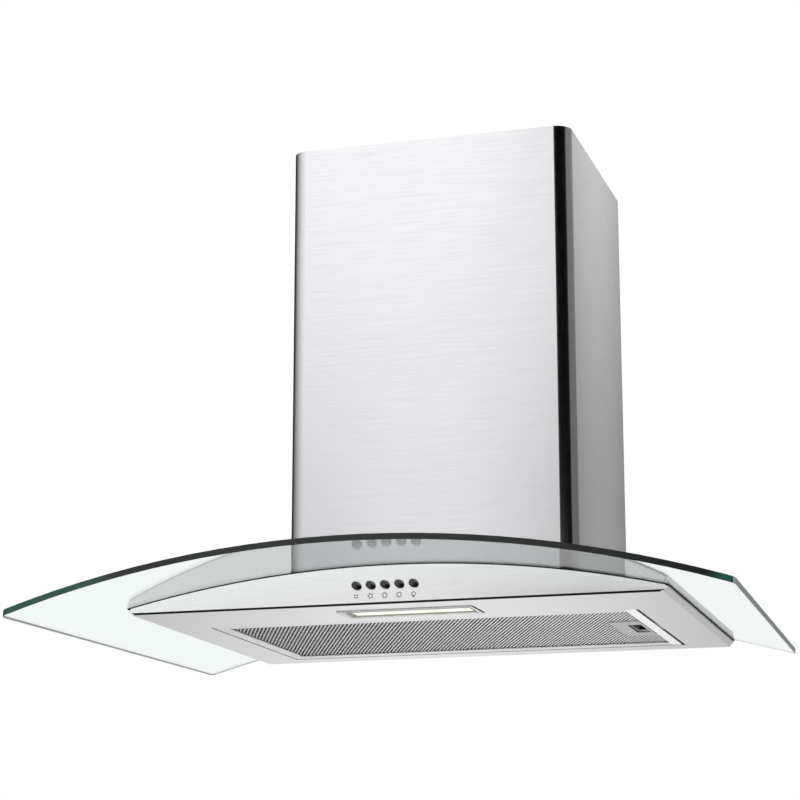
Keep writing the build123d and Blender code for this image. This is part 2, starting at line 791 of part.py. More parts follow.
with BuildPart() as motor_box:
    with BuildSketch(Plane.XY):
        with Locations((0, -box_middle)):
            Rectangle(box_width, box_depth)
    extrude(amount=wall_top)
    with BuildSketch(Plane.XY):
        with Locations((0, -box_middle)):
            Rectangle(box_inner_width, box_inner_depth)
    extrude(amount=wall_top - sheet, mode=Mode.SUBTRACT)
    with BuildSketch(Plane.XY.offset(wall_top)):
        with Locations((0, -box_middle)):
            Rectangle(box_inner_width, box_inner_depth - 2 * top_flange)
        with Locations(*lid_screw_points):
            Circle(small_shank / 2 + film)
    extrude(amount=-sheet, mode=Mode.SUBTRACT)
    add(arch_slab(glass_width / 2, glass_radius - 4 * glass_crown, box_foot, deep), mode=Mode.SUBTRACT)
    add(foot.part)
    with BuildSketch(Plane.YZ.offset(-box_width)):
        with Locations((-box_middle, clip_screw_height)):
            Circle(small_shank / 2 + film)
    extrude(amount=2 * box_width, mode=Mode.SUBTRACT)
finish(motor_box, "motor_box")

with BuildPart() as box_lid:
    with BuildSketch(Plane.XY.offset(box_top)):
        with Locations((0, -box_middle)):
            Rectangle(box_width, box_depth)
            Circle(spigot_radius - spigot_wall, mode=Mode.SUBTRACT)
        with Locations((grommet_x, -grommet_y)):
            Circle(grommet_hole / 2, mode=Mode.SUBTRACT)
        with Locations(*outlet_screw_points, *lid_screw_points):
            Circle(small_shank / 2 + film, mode=Mode.SUBTRACT)
    extrude(amount=-sheet)
finish(box_lid, "box_lid")

with BuildPart() as lid_screws:
    for x, y in lid_screw_points:
        head_plane = Plane((x, y, box_top + film))
        with BuildSketch(head_plane):
            Circle(small_head / 2)
        extrude(amount=small_head_height)
        with BuildSketch(head_plane):
            Circle(small_shank / 2)
        extrude(amount=-(2 * sheet + small_shank))
finish(lid_screws, "lid_screws")

with BuildPart() as box_screws:
    for x, y in box_screw_points:
        with BuildSketch(seat_plane(x, y, plate_low - film)):
            Circle(small_head / 2)
        extrude(amount=-small_head_height)
        with BuildSketch(seat_plane(x, y, plate_low - film)):
            Circle(small_shank / 2)
        extrude(amount=4 * sheet + 2)
finish(box_screws, "box_screws")

# ================= blower casing =================

grow = scroll_growth / 2
axis_x = box_inner_width / 2 - casing_gap - scroll_wall - scroll_radius - grow
scroll_centres = [
    (axis_x + grow, axis_z - grow),
    (axis_x - grow, axis_z - grow),
    (axis_x - grow, axis_z + grow),
]
scroll_radii = [scroll_radius + quarter * scroll_growth for quarter in range(3)]
outlet_left = scroll_centres[2][0] - scroll_radii[2]
outlet_right = axis_x - tongue_x
casing_front = box_middle + scroll_width / 2
casing_rear = box_middle - scroll_width / 2


def scroll_face(wall, top):
    """Volute of three quarter arcs, clockwise from the tongue, that rises to the outlet."""
    with BuildSketch(Plane.XY) as volute:
        with BuildLine():
            quarters = [
                CenterArc(centre, radius + wall, -90 * number, 90)
                for number, (centre, radius) in enumerate(zip(scroll_centres, scroll_radii))
            ]
            start = quarters[0] @ 1
            Polyline(
                start,
                (outlet_right + wall, start.Y),
                (outlet_right + wall, top),
                (outlet_left - wall, top),
                quarters[2] @ 0,
            )
        make_face()
    return volute.sketch


lug_offset = scroll_wall + small_head / 2 + clearance
lug_points = [
    (
        centre[0] + (radius + lug_offset) * cos(radians(45 - 90 * number)),
        centre[1] + (radius + lug_offset) * sin(radians(45 - 90 * number)),
    )
    for number, (centre, radius) in enumerate(zip(scroll_centres, scroll_radii))
]
lug_points.append((outlet_left - lug_offset, wall_top - 4 * lug_radius))
outer_scroll = scroll_face(scroll_wall, wall_top)
inner_scroll = scroll_face(0, box_top)


def casing_half(outer_face, towards_split):
    """Half of the blower casing: its side, inlet, scroll wall, lugs and outlet flange."""
    half_depth = scroll_width / 2 - film / 2
    split = outer_face + towards_split * half_depth
    with BuildPart() as half:
        with BuildSketch(Plane.XZ.offset(outer_face)):
            add(outer_scroll)
        extrude(amount=towards_split * half_depth)
        with BuildSketch(Plane.XZ.offset(split)):
            with Locations(*lug_points):
                Circle(lug_radius)
        extrude(amount=-towards_split * lug_thickness)
        flange_reach = outlet_screw_y + outlet_flange
        with BuildSketch(Plane.XY.offset(wall_top)):
            with Locations((0, -(split - towards_split * flange_reach / 2))):
                Rectangle(2 * (outlet_screw_x + outlet_flange), flange_reach)
        extrude(amount=-scroll_wall)
        with BuildSketch(Plane.XZ.offset(outer_face + towards_split * scroll_wall)):
            add(inner_scroll)
        extrude(amount=towards_split * scroll_width, mode=Mode.SUBTRACT)
        with BuildSketch(Plane.XZ.offset(outer_face)):
            with Locations((axis_x, axis_z)):
                Circle(inlet_radius + scroll_wall)
        extrude(amount=towards_split * (scroll_wall + inlet_lip))
        with BuildSketch(Plane.XZ.offset(outer_face)):
            with Locations((axis_x, axis_z)):
                Circle(inlet_radius)
        extrude(amount=towards_split * scroll_width, mode=Mode.SUBTRACT)
        with BuildSketch(Plane.XZ.offset(split)):
            with Locations(*lug_points):
                Circle(small_shank / 2 + film)
        extrude(amount=-towards_split * lug_thickness, mode=Mode.SUBTRACT)
        with BuildSketch(Plane.XY.offset(wall_top)):
            with Locations(*outlet_screw_points):
                Circle(small_shank / 2 + film)
        extrude(amount=-scroll_wall, mode=Mode.SUBTRACT)
    return half


casing_front_half = casing_half(casing_front, -1)
finish(casing_front_half, "casing_front")
casing_rear_half = casing_half(casing_rear, 1)
bush_points = [
    (
        axis_x + spider_reach * sin(radians(360 * arm / spider_arms)),
        axis_z + spider_reach * cos(radians(360 * arm / spider_arms)),
    )
    for arm in range(spider_arms)
]
with BuildPart() as casing_rear_drilled:
    add(casing_rear_half.part)
    with BuildSketch(Plane.XZ.offset(casing_rear)):
        with Locations(*bush_points):
            Circle(small_shank / 2 + film)
    extrude(amount=scroll_wall, mode=Mode.SUBTRACT)
finish(casing_rear_drilled, "casing_rear")

with BuildPart() as casing_screws:
    for x, z in lug_points:
        with BuildSketch(Plane.XZ.offset(box_middle + lug_thickness + film)):
            with Locations((x, z)):
                Circle(small_head / 2)
        extrude(amount=small_head_height)
        with BuildSketch(Plane.XZ.offset(box_middle + lug_thickness + film)):
            with Locations((x, z)):
                Circle(small_shank / 2)
        extrude(amount=-(2 * lug_thickness + film))
finish(casing_screws, "casing_screws")

# ================= motor =================

spider_rear = casing_rear - bush_height - spider_thickness
motor_rear = casing_rear - bush_height
motor_front = motor_rear + motor_length
shaft_axis = Plane(origin=(axis_x, 0, axis_z), x_dir=(1, 0, 0), z_dir=(0, -1, 0))

with BuildPart() as motor:
    with BuildSketch(shaft_axis.offset(motor_rear)):
        Circle(motor_radius)
    extrude(amount=motor_length)
    fillet(motor.edges().filter_by(GeomType.CIRCLE).sort_by(Axis.Y)[0], motor_fillet)
    with BuildSketch(shaft_axis.offset(motor_rear + motor_length / 3)):
        Circle(motor_radius + lamination_proud)
        Circle(motor_radius - lamination_proud, mode=Mode.SUBTRACT)
    extrude(amount=motor_length / 3)
    with BuildSketch(shaft_axis.offset(motor_front)):
        Circle(motor_neck)
    extrude(amount=motor_neck_length, taper=motor_neck_taper)
    with BuildSketch(shaft_axis.offset(motor_front - motor_length / 2)):
        Circle(shaft_radius + running_fit)
    extrude(amount=deep, mode=Mode.SUBTRACT)
finish(motor, "motor")

with BuildPart() as motor_spider:
    with BuildSketch(shaft_axis.offset(spider_rear)):
        Circle(motor_radius)
        with PolarLocations(0, spider_arms, start_angle=90):
            with Locations((spider_reach / 2, 0)):
                Rectangle(spider_reach, spider_arm)
            with Locations((spider_reach, 0)):
                Circle(spider_arm / 2)
        with PolarLocations(spider_reach, spider_arms, start_angle=90):
            Circle(small_shank / 2 + film, mode=Mode.SUBTRACT)
        Circle(motor_radius / 2, mode=Mode.SUBTRACT)
    extrude(amount=spider_thickness)
finish(motor_spider, "motor_spider")

with BuildPart() as motor_bushes:
    with BuildSketch(shaft_axis.offset(motor_rear)):
        with PolarLocations(spider_reach, spider_arms, start_angle=90):
            Circle(bush_radius)
            Circle(small_shank / 2 + film, mode=Mode.SUBTRACT)
    extrude(amount=bush_height)
finish(motor_bushes, "motor_bushes")

with BuildPart() as spider_screws:
    with BuildSketch(shaft_axis.offset(spider_rear)):
        with PolarLocations(spider_reach, spider_arms, start_angle=90):
            Circle(small_head / 2)
    extrude(amount=-small_head_height)
    with BuildSketch(shaft_axis.offset(spider_rear)):
        with PolarLocations(spider_reach, spider_arms, start_angle=90):
            Circle(small_shank / 2)
    extrude(amount=spider_thickness + bush_height + scroll_wall + 1)
finish(spider_screws, "spider_screws")

# ================= impeller =================

impeller_rear = box_middle - impeller_width / 2
ring_inner = impeller_radius - blade_depth
hub_rear = motor_front + motor_neck_length + 1
hub_front = hub_rear + hub_length
blade_root = Vector(ring_inner + clearance, 0)
blade_tip = Vector(impeller_radius - clearance, 0).rotate(Axis.Z, -blade_lean)
blade_side = (blade_tip - blade_root).normalized().rotate(Axis.Z, 90)

with BuildSketch(Plane.XY) as blade:
    with BuildLine():
        middle = (blade_root + blade_tip) / 2 + blade_side * blade_bow
        half_skin = blade_side * (blade_thickness / 2)
        hollow = ThreePointArc(blade_root - half_skin, middle - half_skin, blade_tip - half_skin)
        back = ThreePointArc(blade_root + half_skin, middle + half_skin, blade_tip + half_skin)
        Line(hollow @ 0, back @ 0)
        Line(hollow @ 1, back @ 1)
    make_face()

with BuildPart() as impeller:
    with BuildSketch(shaft_axis.offset(impeller_rear)):
        with PolarLocations(0, blade_count):
            add(blade.sketch)
    extrude(amount=impeller_width)
    front_ring = impeller_rear + impeller_width - ring_thickness
    with BuildSketch(shaft_axis.offset(impeller_rear), shaft_axis.offset(front_ring)):
        Circle(impeller_radius)
        Circle(ring_inner, mode=Mode.SUBTRACT)
    extrude(amount=ring_thickness)
    with BuildSketch(shaft_axis.offset(box_middle)):
        Circle(impeller_radius)
    extrude(amount=disc_thickness)
    with BuildSketch(shaft_axis.offset(hub_rear)):
        Circle(hub_radius)
    extrude(amount=hub_length)
    with BuildSketch(shaft_axis.offset(hub_rear)):
        Circle(shaft_radius)
    extrude(amount=hub_length, mode=Mode.SUBTRACT)
finish(impeller, "impeller")

with BuildPart() as motor_shaft:
    with BuildSketch(shaft_axis.offset(motor_front - motor_length / 2 + 1)):
        Circle(shaft_radius)
    extrude(amount=hub_front + nut_radius - motor_front + motor_length / 2 - 1)
finish(motor_shaft, "motor_shaft")

with BuildPart() as impeller_nut:
    with BuildSketch(shaft_axis.offset(hub_front)):
        RegularPolygon(nut_radius + 1, 6, major_radius=False)
        Circle(shaft_radius, mode=Mode.SUBTRACT)
    extrude(amount=nut_radius - 1)
finish(impeller_nut, "impeller_nut")

# ================= outlet spigot and flaps =================

spigot_base = box_top + film
spigot_bore = spigot_radius - spigot_wall
seat_top = spigot_base + spigot_flange + seat_height
flap_low = seat_top + clearance
pin_height = flap_low + knuckle_radius
spigot_axis = Plane(origin=(0, -box_middle, 0), x_dir=(1, 0, 0), z_dir=(0, 0, 1))
pin_axis = Plane(origin=(0, 0, pin_height), x_dir=(1, 0, 0), z_dir=(0, -1, 0))

with BuildPart() as outlet_spigot:
    with BuildSketch(spigot_axis.offset(spigot_base)):
        RectangleRounded(2 * spigot_flange_half, 2 * spigot_flange_half, spigot_flange_corner)
        with Locations(*[(x, y + box_middle) for x, y in outlet_screw_points]):
            Circle(small_shank / 2 + film, mode=Mode.SUBTRACT)
    extrude(amount=spigot_flange)
    with BuildSketch(spigot_axis.offset(spigot_base)):
        Circle(spigot_radius)
    extrude(amount=spigot_flange + spigot_height)
    with BuildSketch(spigot_axis.offset(spigot_base)):
        Circle(spigot_bore)
    extrude(amount=spigot_flange + spigot_height, mode=Mode.SUBTRACT)
    with BuildSketch(spigot_axis.offset(seat_top - seat_thickness)):
        Circle(spigot_bore)
        Circle(spigot_bore - seat_width, mode=Mode.SUBTRACT)
    extrude(amount=seat_thickness)
    with BuildSketch(pin_axis.offset(box_middle - spigot_radius)):
        Circle(pin_radius + film)
    extrude(amount=2 * spigot_radius, mode=Mode.SUBTRACT)
finish(outlet_spigot, "outlet_spigot")

with BuildPart() as outlet_screws:
    for x, y in outlet_screw_points:
        head = Plane((x, y, spigot_base + spigot_flange))
        with BuildSketch(head):
            Circle(small_head / 2)
        extrude(amount=small_head_height)
        with BuildSketch(head):
            Circle(small_shank / 2)
        extrude(amount=-(spigot_flange + 2 * sheet + scroll_wall + 2))
finish(outlet_screws, "outlet_screws")

with BuildPart() as flap_pin:
    with BuildSketch(pin_axis.offset(box_middle - spigot_radius)):
        Circle(pin_radius)
    extrude(amount=2 * spigot_radius)
finish(flap_pin, "flap_pin")


def half_flap(side, knuckles):
    """Half-round flap on one side of the pin, with its knuckles centred at the given places."""
    with BuildPart() as flap:
        with BuildSketch(spigot_axis.offset(flap_low)):
            Circle(spigot_bore - flap_gap)
            with Locations((-side * (spigot_bore - flap_gap / 2), 0)):
                Rectangle(2 * spigot_bore, 2 * spigot_bore, mode=Mode.SUBTRACT)
        extrude(amount=flap_thickness)
        for along in knuckles:
            with BuildSketch(pin_axis.offset(box_middle + along - knuckle_length / 2)):
                Circle(knuckle_radius)
                with Locations((side * knuckle_radius / 2, -knuckle_radius + flap_thickness / 2)):
                    Rectangle(knuckle_radius, flap_thickness)
            extrude(amount=knuckle_length)
            other = -along
            with BuildSketch(pin_axis.offset(box_middle + other - knuckle_length / 2 - clearance)):
                Circle(knuckle_radius + clearance)
            extrude(amount=knuckle_length + 2 * clearance, mode=Mode.SUBTRACT)
        with BuildSketch(pin_axis.offset(box_middle - spigot_radius)):
            Circle(pin_radius + running_fit)
        extrude(amount=2 * spigot_radius, mode=Mode.SUBTRACT)
    return flap


flap_left = half_flap(-1, (-3 * knuckle_length, knuckle_length))
finish(flap_left, "flap_left")
flap_right = half_flap(1, (-knuckle_length, 3 * knuckle_length))
finish(flap_right, "flap_right")

# ================= chimney =================

upper_inset = sheet + chimney_gap
upper_top = chimney_top - upper_drop
upper_width = chimney_width - 2 * upper_inset
lower_section = chimney_section(chimney_width, chimney_depth, 0, chimney_bend, chimney_lip)
upper_section = chimney_section(
    upper_width, chimney_depth - upper_inset, upper_inset, chimney_bend - upper_inset, chimney_lip
)
below_cover = arch_slab(
    chimney_width, glass_radius - 4 * glass_crown, glass_top_radius + glass_gap, deep
)

with BuildPart() as lower_chimney:
    with BuildSketch(Plane.XY):
        add(lower_section)
    extrude(amount=chimney_top)
    add(below_cover, mode=Mode.SUBTRACT)
finish(lower_chimney, "lower_chimney")

bracket_top = upper_top - bracket_below
bracket_middle = bracket_top - bracket_height / 2
bracket_rear = upper_inset + sheet + clearance
bracket_half = upper_width / 2 - sheet - film
ear_middle = bracket_rear + bracket_ear / 2

with BuildPart() as upper_chimney:
    with BuildSketch(Plane.XY.offset(upper_bottom)):
        add(upper_section)
    extrude(amount=upper_top - upper_bottom)
    with BuildSketch(Plane.YZ.offset(-chimney_width / 2)):
        with Locations((-box_middle, upper_top - vent_top - (vent_rows - 1) * vent_pitch / 2)):
            with GridLocations(vent_length + vent_pitch, vent_pitch, vent_columns, vent_rows):
                SlotOverall(vent_length, vent_width)
        with Locations((-ear_middle, bracket_middle)):
            Circle(small_shank / 2 + film)
    extrude(amount=chimney_width, mode=Mode.SUBTRACT)
finish(upper_chimney, "upper_chimney")

with BuildPart() as upper_bracket:
    with BuildSketch(Plane.XZ.offset(bracket_rear)):
        with Locations((0, bracket_middle)):
            Rectangle(2 * bracket_half, bracket_height)
    extrude(amount=bracket_ear)
    with BuildSketch(Plane.XZ.offset(bracket_rear + bracket_sheet)):
        with Locations((0, bracket_middle)):
            Rectangle(2 * bracket_half - 2 * bracket_sheet, 2 * bracket_height)
    extrude(amount=bracket_ear, mode=Mode.SUBTRACT)
    with BuildSketch(Plane.XZ):
        with Locations((0, bracket_middle)):
            with GridLocations(bracket_spacing, 0, 2, 1):
                Circle(bracket_boss / 2)
    extrude(amount=bracket_rear)
    with BuildSketch(Plane.XZ):
        with Locations((0, bracket_middle)):
            with GridLocations(bracket_spacing, 0, 2, 1):
                Circle(bracket_hole / 2)
    extrude(amount=2 * bracket_rear, mode=Mode.SUBTRACT)
    with BuildSketch(Plane.YZ.offset(-chimney_width / 2)):
        with Locations((-ear_middle, bracket_middle)):
            Circle(small_shank / 2 + film)
    extrude(amount=chimney_width, mode=Mode.SUBTRACT)
finish(upper_bracket, "upper_bracket")

with BuildPart() as bracket_screws:
    for side in (-1, 1):
        seat = side * (bracket_half - bracket_sheet)
        inner = Plane(origin=(seat, -ear_middle, bracket_middle), z_dir=(-side, 0, 0))
        with BuildSketch(inner):
            Circle(small_head / 2)
        extrude(amount=small_head_height)
        with BuildSketch(inner):
            Circle(small_shank / 2)
        extrude(amount=-(bracket_sheet + sheet))
finish(bracket_screws, "bracket_screws")

# ================= clips between box and chimney =================

clip_low = glass_crown + glass_thickness
clip_inner = box_width / 2 + film
clip_outer = chimney_width / 2 - sheet - 2 * film

with BuildPart() as chimney_clips:
    for side in (-1, 1):
        with BuildSketch(Plane.XZ.offset(box_middle - clip_width / 2)):
            with BuildLine():
                Polyline(
                    (side * clip_inner, clip_top - clip_foot),
                    (side * clip_inner, clip_top),
                    (side * clip_outer, clip_top),
                    (side * clip_outer, clip_low),
                    (side * (clip_outer - bracket_sheet), clip_low),
                    (side * (clip_outer - bracket_sheet), clip_top - bracket_sheet),
                    (side * (clip_inner + bracket_sheet), clip_top - bracket_sheet),
                    (side * (clip_inner + bracket_sheet), clip_top - clip_foot),
                    close=True,
                )
            make_face()
        extrude(amount=clip_width)
    with BuildSketch(Plane.YZ.offset(-clip_inner - bracket_sheet)):
        with Locations((-box_middle, clip_screw_height)):
            Circle(small_shank / 2 + film)
    extrude(amount=2 * (clip_inner + bracket_sheet), mode=Mode.SUBTRACT)
finish(chimney_clips, "chimney_clips")

with BuildPart() as clip_screws:
    for side in (-1, 1):
        seat = side * (clip_inner + bracket_sheet + film)
        outer = Plane(origin=(seat, -box_middle, clip_screw_height), z_dir=(side, 0, 0))
        with BuildSketch(outer):
            Circle(small_head / 2)
        extrude(amount=small_head_height)
        with BuildSketch(outer):
            Circle(small_shank / 2)
        extrude(amount=-(bracket_sheet + sheet + small_shank))
finish(clip_screws, "clip_screws")

# ================= electrics =================

junction_left = -box_inner_width / 2 + film
with BuildPart() as junction_box:
    with BuildSketch(Plane.YZ.offset(junction_left)):
        with Locations((-junction_y, junction_bottom + junction_height / 2)):
            RectangleRounded(junction_width, junction_height, junction_corner)
    extrude(amount=junction_depth)
    offset(amount=-junction_wall, openings=junction_box.faces().sort_by(Axis.X)[-1])
finish(junction_box, "junction_box")

with BuildPart() as junction_lid:
    with BuildSketch(Plane.YZ.offset(junction_left + junction_depth + film)):
        with Locations((-junction_y, junction_bottom + junction_height / 2)):
            RectangleRounded(junction_width, junction_height, junction_corner)
    extrude(amount=junction_wall)
    fillet(junction_lid.edges().group_by(Axis.X)[-1], lid_fillet)
finish(junction_lid, "junction_lid")

with BuildPart() as capacitor:
    with BuildSketch(Plane.XY.offset(junction_bottom)):
        with Locations((junction_left + capacitor_radius, -capacitor_y)):
            Circle(capacitor_radius)
    extrude(amount=capacitor_length)
    fillet(capacitor.edges().filter_by(GeomType.CIRCLE), capacitor_fillet)
finish(capacitor, "capacitor")

over_lid = Plane((grommet_x, -grommet_y, box_top + film))
under_lid = Plane((grommet_x, -grommet_y, box_top - sheet - film))
with BuildPart() as cable_grommet:
    with BuildSketch(over_lid):
        Circle(grommet_head / 2)
    extrude(amount=grommet_lip, taper=grommet_taper)
    with BuildSketch(under_lid):
        Circle(grommet_head / 2)
    extrude(amount=-grommet_lip, taper=grommet_taper)
    with BuildSketch(over_lid):
        Circle(grommet_hole / 2 - film)
    extrude(amount=-(sheet + 2 * film))
    with BuildSketch(over_lid.offset(grommet_lip)):
        Circle(grommet_bore / 2)
    extrude(amount=-deep, mode=Mode.SUBTRACT)
finish(cable_grommet, "cable_grommet")
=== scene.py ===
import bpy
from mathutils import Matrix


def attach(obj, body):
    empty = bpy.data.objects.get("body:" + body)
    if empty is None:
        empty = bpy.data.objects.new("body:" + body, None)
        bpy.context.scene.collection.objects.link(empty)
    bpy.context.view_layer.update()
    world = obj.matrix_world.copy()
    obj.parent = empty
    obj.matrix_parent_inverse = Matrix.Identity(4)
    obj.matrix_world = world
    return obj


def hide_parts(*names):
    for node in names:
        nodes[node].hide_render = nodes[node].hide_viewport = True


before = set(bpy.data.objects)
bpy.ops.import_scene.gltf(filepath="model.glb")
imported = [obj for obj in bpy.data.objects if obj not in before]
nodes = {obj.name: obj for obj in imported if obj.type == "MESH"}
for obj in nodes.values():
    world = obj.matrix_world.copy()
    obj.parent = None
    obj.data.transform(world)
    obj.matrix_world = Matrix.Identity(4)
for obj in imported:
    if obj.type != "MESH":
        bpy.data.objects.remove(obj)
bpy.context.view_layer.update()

import math
import bmesh
import bpy
from mathutils import Matrix, Vector

scene = bpy.context.scene
scene.view_settings.view_transform = "Standard"
print("frame loaded with", len(nodes), "nodes")


# camera

cameraSettings = {
    "place": (0.5431, -2.1267, -0.2831),  # low and to the cook's right, looking up
    "turn": 0.291,
    "rise": 0.240,
    "lens": 102.71,
    "sensor": 36.0,
}


def makeCamera(settings):
    data = bpy.data.cameras.new("hoodCamera")
    data.sensor_width = settings["sensor"]
    data.lens = settings["lens"]
    camera = bpy.data.objects.new("hoodCamera", data)
    scene.collection.objects.link(camera)
    camera.location = settings["place"]
    camera.rotation_euler = (math.pi / 2 + settings["rise"], 0, settings["turn"])
    scene.camera = camera


makeCamera(cameraSettings)
print("camera placed")


# node helpers

def feed(tree, socket, value):
    if isinstance(value, bpy.types.NodeSocket):
        tree.links.new(value, socket)
    else:
        socket.default_value = value


def addNode(tree, kind, inputs=None, **settings):
    node = tree.nodes.new(kind)
    for name, value in settings.items():
        setattr(node, name, value)
    for name, value in (inputs or {}).items():
        feed(tree, node.inputs[name], value)
    return node


def calc(tree, operation, *values):
    node = addNode(tree, "ShaderNodeMath", operation=operation)
    for socket, value in zip(node.inputs, values):
        feed(tree, socket, value)
    return node.outputs[0]


def product(tree, result, *factors):
    for factor in factors:
        result = calc(tree, "MULTIPLY", result, factor)
    return result


def vectorCalc(tree, operation, *values):
    node = addNode(tree, "ShaderNodeVectorMath", operation=operation)
    for socket, value in zip(node.inputs, values):
        feed(tree, socket, value)
    return node.outputs[0]


def split(tree, vector):
    return addNode(tree, "ShaderNodeSeparateXYZ", {0: vector}).outputs


def pick(tree, mask, whereOff, whereOn):
    node = addNode(tree, "ShaderNodeMix", data_type="FLOAT")
    feed(tree, node.inputs[0], mask)
    feed(tree, node.inputs[2], whereOff)
    feed(tree, node.inputs[3], whereOn)
    return node.outputs[0]


def pickColour(tree, mask, whereOff, whereOn):
    node = addNode(tree, "ShaderNodeMix", data_type="RGBA")
    feed(tree, node.inputs[0], mask)
    feed(tree, node.inputs[6], whereOff)
    feed(tree, node.inputs[7], whereOn)
    return node.outputs[2]


def ramp(tree, value, stops):
    node = addNode(tree, "ShaderNodeValToRGB", {0: value})
    node.color_ramp.interpolation = "LINEAR"
    elements = node.color_ramp.elements
    while len(elements) > 1:
        elements.remove(elements[0])
    elements[0].position = stops[0][0]
    elements[0].color = grey(stops[0][1])
    for position, level in stops[1:]:
        elements.new(position).color = grey(level)
    return node.outputs[0]


def grey(level):
    return (level, level, level, 1.0)


def colour(rgb, scale=1.0):
    return (rgb[0] * scale, rgb[1] * scale, rgb[2] * scale, 1.0)


def noise(tree, place, scale, detail=2.0, roughness=0.5):
    node = addNode(tree, "ShaderNodeTexNoise", {
        "Vector": place, "Scale": scale, "Detail": detail, "Roughness": roughness,
    })
    return node.outputs[0]


def stretch(tree, place, scale):
    node = addNode(tree, "ShaderNodeMapping", {"Vector": place, "Scale": scale})
    return node.outputs[0]


# low to high while the value runs between the last two, which suit a noise's middle
def span(tree, value, low, high, fromLow=0.3, fromHigh=0.7):
    node = addNode(tree, "ShaderNodeMapRange", {
        "Value": value, "From Min": fromLow, "From Max": fromHigh, "To Min": low, "To Max": high,
    })
    return node.outputs[0]


def bump(tree, height, distance, strength=1.0):
    node = addNode(tree, "ShaderNodeBump", {"Height": height, "Distance": distance, "Strength": strength})
    return node.outputs[0]


# studio: white seen behind everything, soft light, and what metal mirrors

studioSettings = {
    "lightLevel": 0.62,  # what falls on matt surfaces
    "peak": 1.58,  # the brightest part of what metal mirrors
    # share of the peak from each side: 0 degrees is the cook's side, 90 the cook's right
    "around": [
        (-180, 0.42), (-172, 0.48), (-167, 0.66), (-163, 0.74), (-156.5, 0.52), (-152.5, 0.04),
        (-125, 0.01), (-115, 0.05), (-100, 0.22), (-85, 0.36), (-65, 0.56), (-45, 0.76), (-24, 0.90),
        (-15.5, 1.0), (-12.3, 0.82), (-10.8, 0.52), (-9, 0.52), (-7.8, 0.86), (-6.5, 0.86),
        (-5, 0.0), (77, 0.0), (83, 0.26), (150, 0.34), (160, 0.44), (164, 0.72), (166.3, 0.80), (169.6, 0.80),
        (172, 0.62), (180, 0.50),
    ],
    # and from each height, degrees above the horizon
    "heightFront": [(-90, 0.14), (-30, 0.14), (-8, 0.295), (2, 0.45), (7, 0.60), (12, 0.52), (20, 0.78), (30, 1.0),
                    (90, 0.9)],
    "heightRight": [(-90, 0.55), (-30, 0.42), (-14, 0.39), (-5, 0.42), (5, 0.46), (8, 0.24), (12, 0.28),
                    (20, 0.66), (28, 1.0), (90, 0.9)],
    "heightLeft": [(-90, 0.54), (-40, 0.68), (-8, 0.76), (20, 0.74), (60, 0.66), (90, 0.9)],
    "rightBlend": 0.05,  # how gently left passes into right
    "behindBlend": 0.15,  # and front into back
}


def makeStudio(settings):
    world = bpy.data.worlds.new("studio")
    world.use_nodes = True
    scene.world = world
    tree = world.node_tree
    tree.nodes.clear()
    x, y, z = split(tree, addNode(tree, "ShaderNodeTexCoord").outputs["Generated"])
    angle = calc(tree, "ARCTAN2", x, calc(tree, "MULTIPLY", y, -1.0))
    around = calc(tree, "MULTIPLY_ADD", angle, 0.5 / math.pi, 0.5)
    height = calc(tree, "MULTIPLY_ADD", calc(tree, "ARCSINE", z), 1 / math.pi, 0.5)
    levels = {}
    for name in ("heightFront", "heightRight", "heightLeft"):
        levels[name] = ramp(tree, height, [((degrees + 90) / 180, level) for degrees, level in settings[name]])
    aroundLevel = ramp(tree, around, [((degrees + 180) / 360, level) for degrees, level in settings["around"]])
    onRight = span(tree, x, 0.0, 1.0, -settings["rightBlend"], settings["rightBlend"])
    behind = span(tree, y, 0.0, 1.0, -settings["behindBlend"], settings["behindBlend"])
    heightLevel = pick(tree, onRight, levels["heightLeft"], levels["heightRight"])
    heightLevel = pick(tree, behind, levels["heightFront"], heightLevel)
    mirrored = product(tree, aroundLevel, heightLevel, settings["peak"])
    # white straight ahead and through glass, the mirrored level in metal, plain light elsewhere
    path = addNode(tree, "ShaderNodeLightPath").outputs
    straight = calc(tree, "LESS_THAN", path["Glossy Depth"], 0.5)
    seen = calc(tree, "MAXIMUM", path["Is Camera Ray"], product(tree, path["Is Transmission Ray"], straight))
    seen = calc(tree, "MAXIMUM", seen, product(tree, path["Is Singular Ray"], path["Is Glossy Ray"]))
    reflected = calc(tree, "MAXIMUM", path["Is Glossy Ray"], calc(tree, "SUBTRACT", 1.0, straight))
    level = pick(tree, reflected, settings["lightLevel"], mirrored)
    level = pick(tree, seen, level, 1.0)
    background = addNode(tree, "ShaderNodeBackground", {"Color": grey(1.0), "Strength": level})
    addNode(tree, "ShaderNodeOutputWorld", {"Surface": background.outputs[0]})


lightSettings = {
    "target": (0, -0.15, 0.15),
    "lights": [  # name, place, size and power
        ("keyLight", (-1.9, -2.0, 2.2), 1.6, 26.0),
        ("fillLight", (2.2, -2.2, 1.2), 1.8, 18.0),
        ("lowLight", (0.2, -1.0, -0.70), 1.2, 18.0),
    ],
}


def makeLight(name, place, size, power):
    data = bpy.data.lights.new(name, "AREA")
    data.size = size
    data.energy = power
    light = bpy.data.objects.new(name, data)
    scene.collection.objects.link(light)
    light.location = place
    aim = Vector(lightSettings["target"]) - light.location
    light.rotation_euler = aim.to_track_quat("-Z", "Y").to_euler()
    light.visible_glossy = False
    light.visible_transmission = False
    light.visible_camera = False


floorSettings = {
    "middle": (0, 2.0, -0.75),
    "half": 30.0,
    "colour": (0.86, 0.86, 0.86),
    "seenShare": 0.8,  # share of white in it where the camera sees it
}


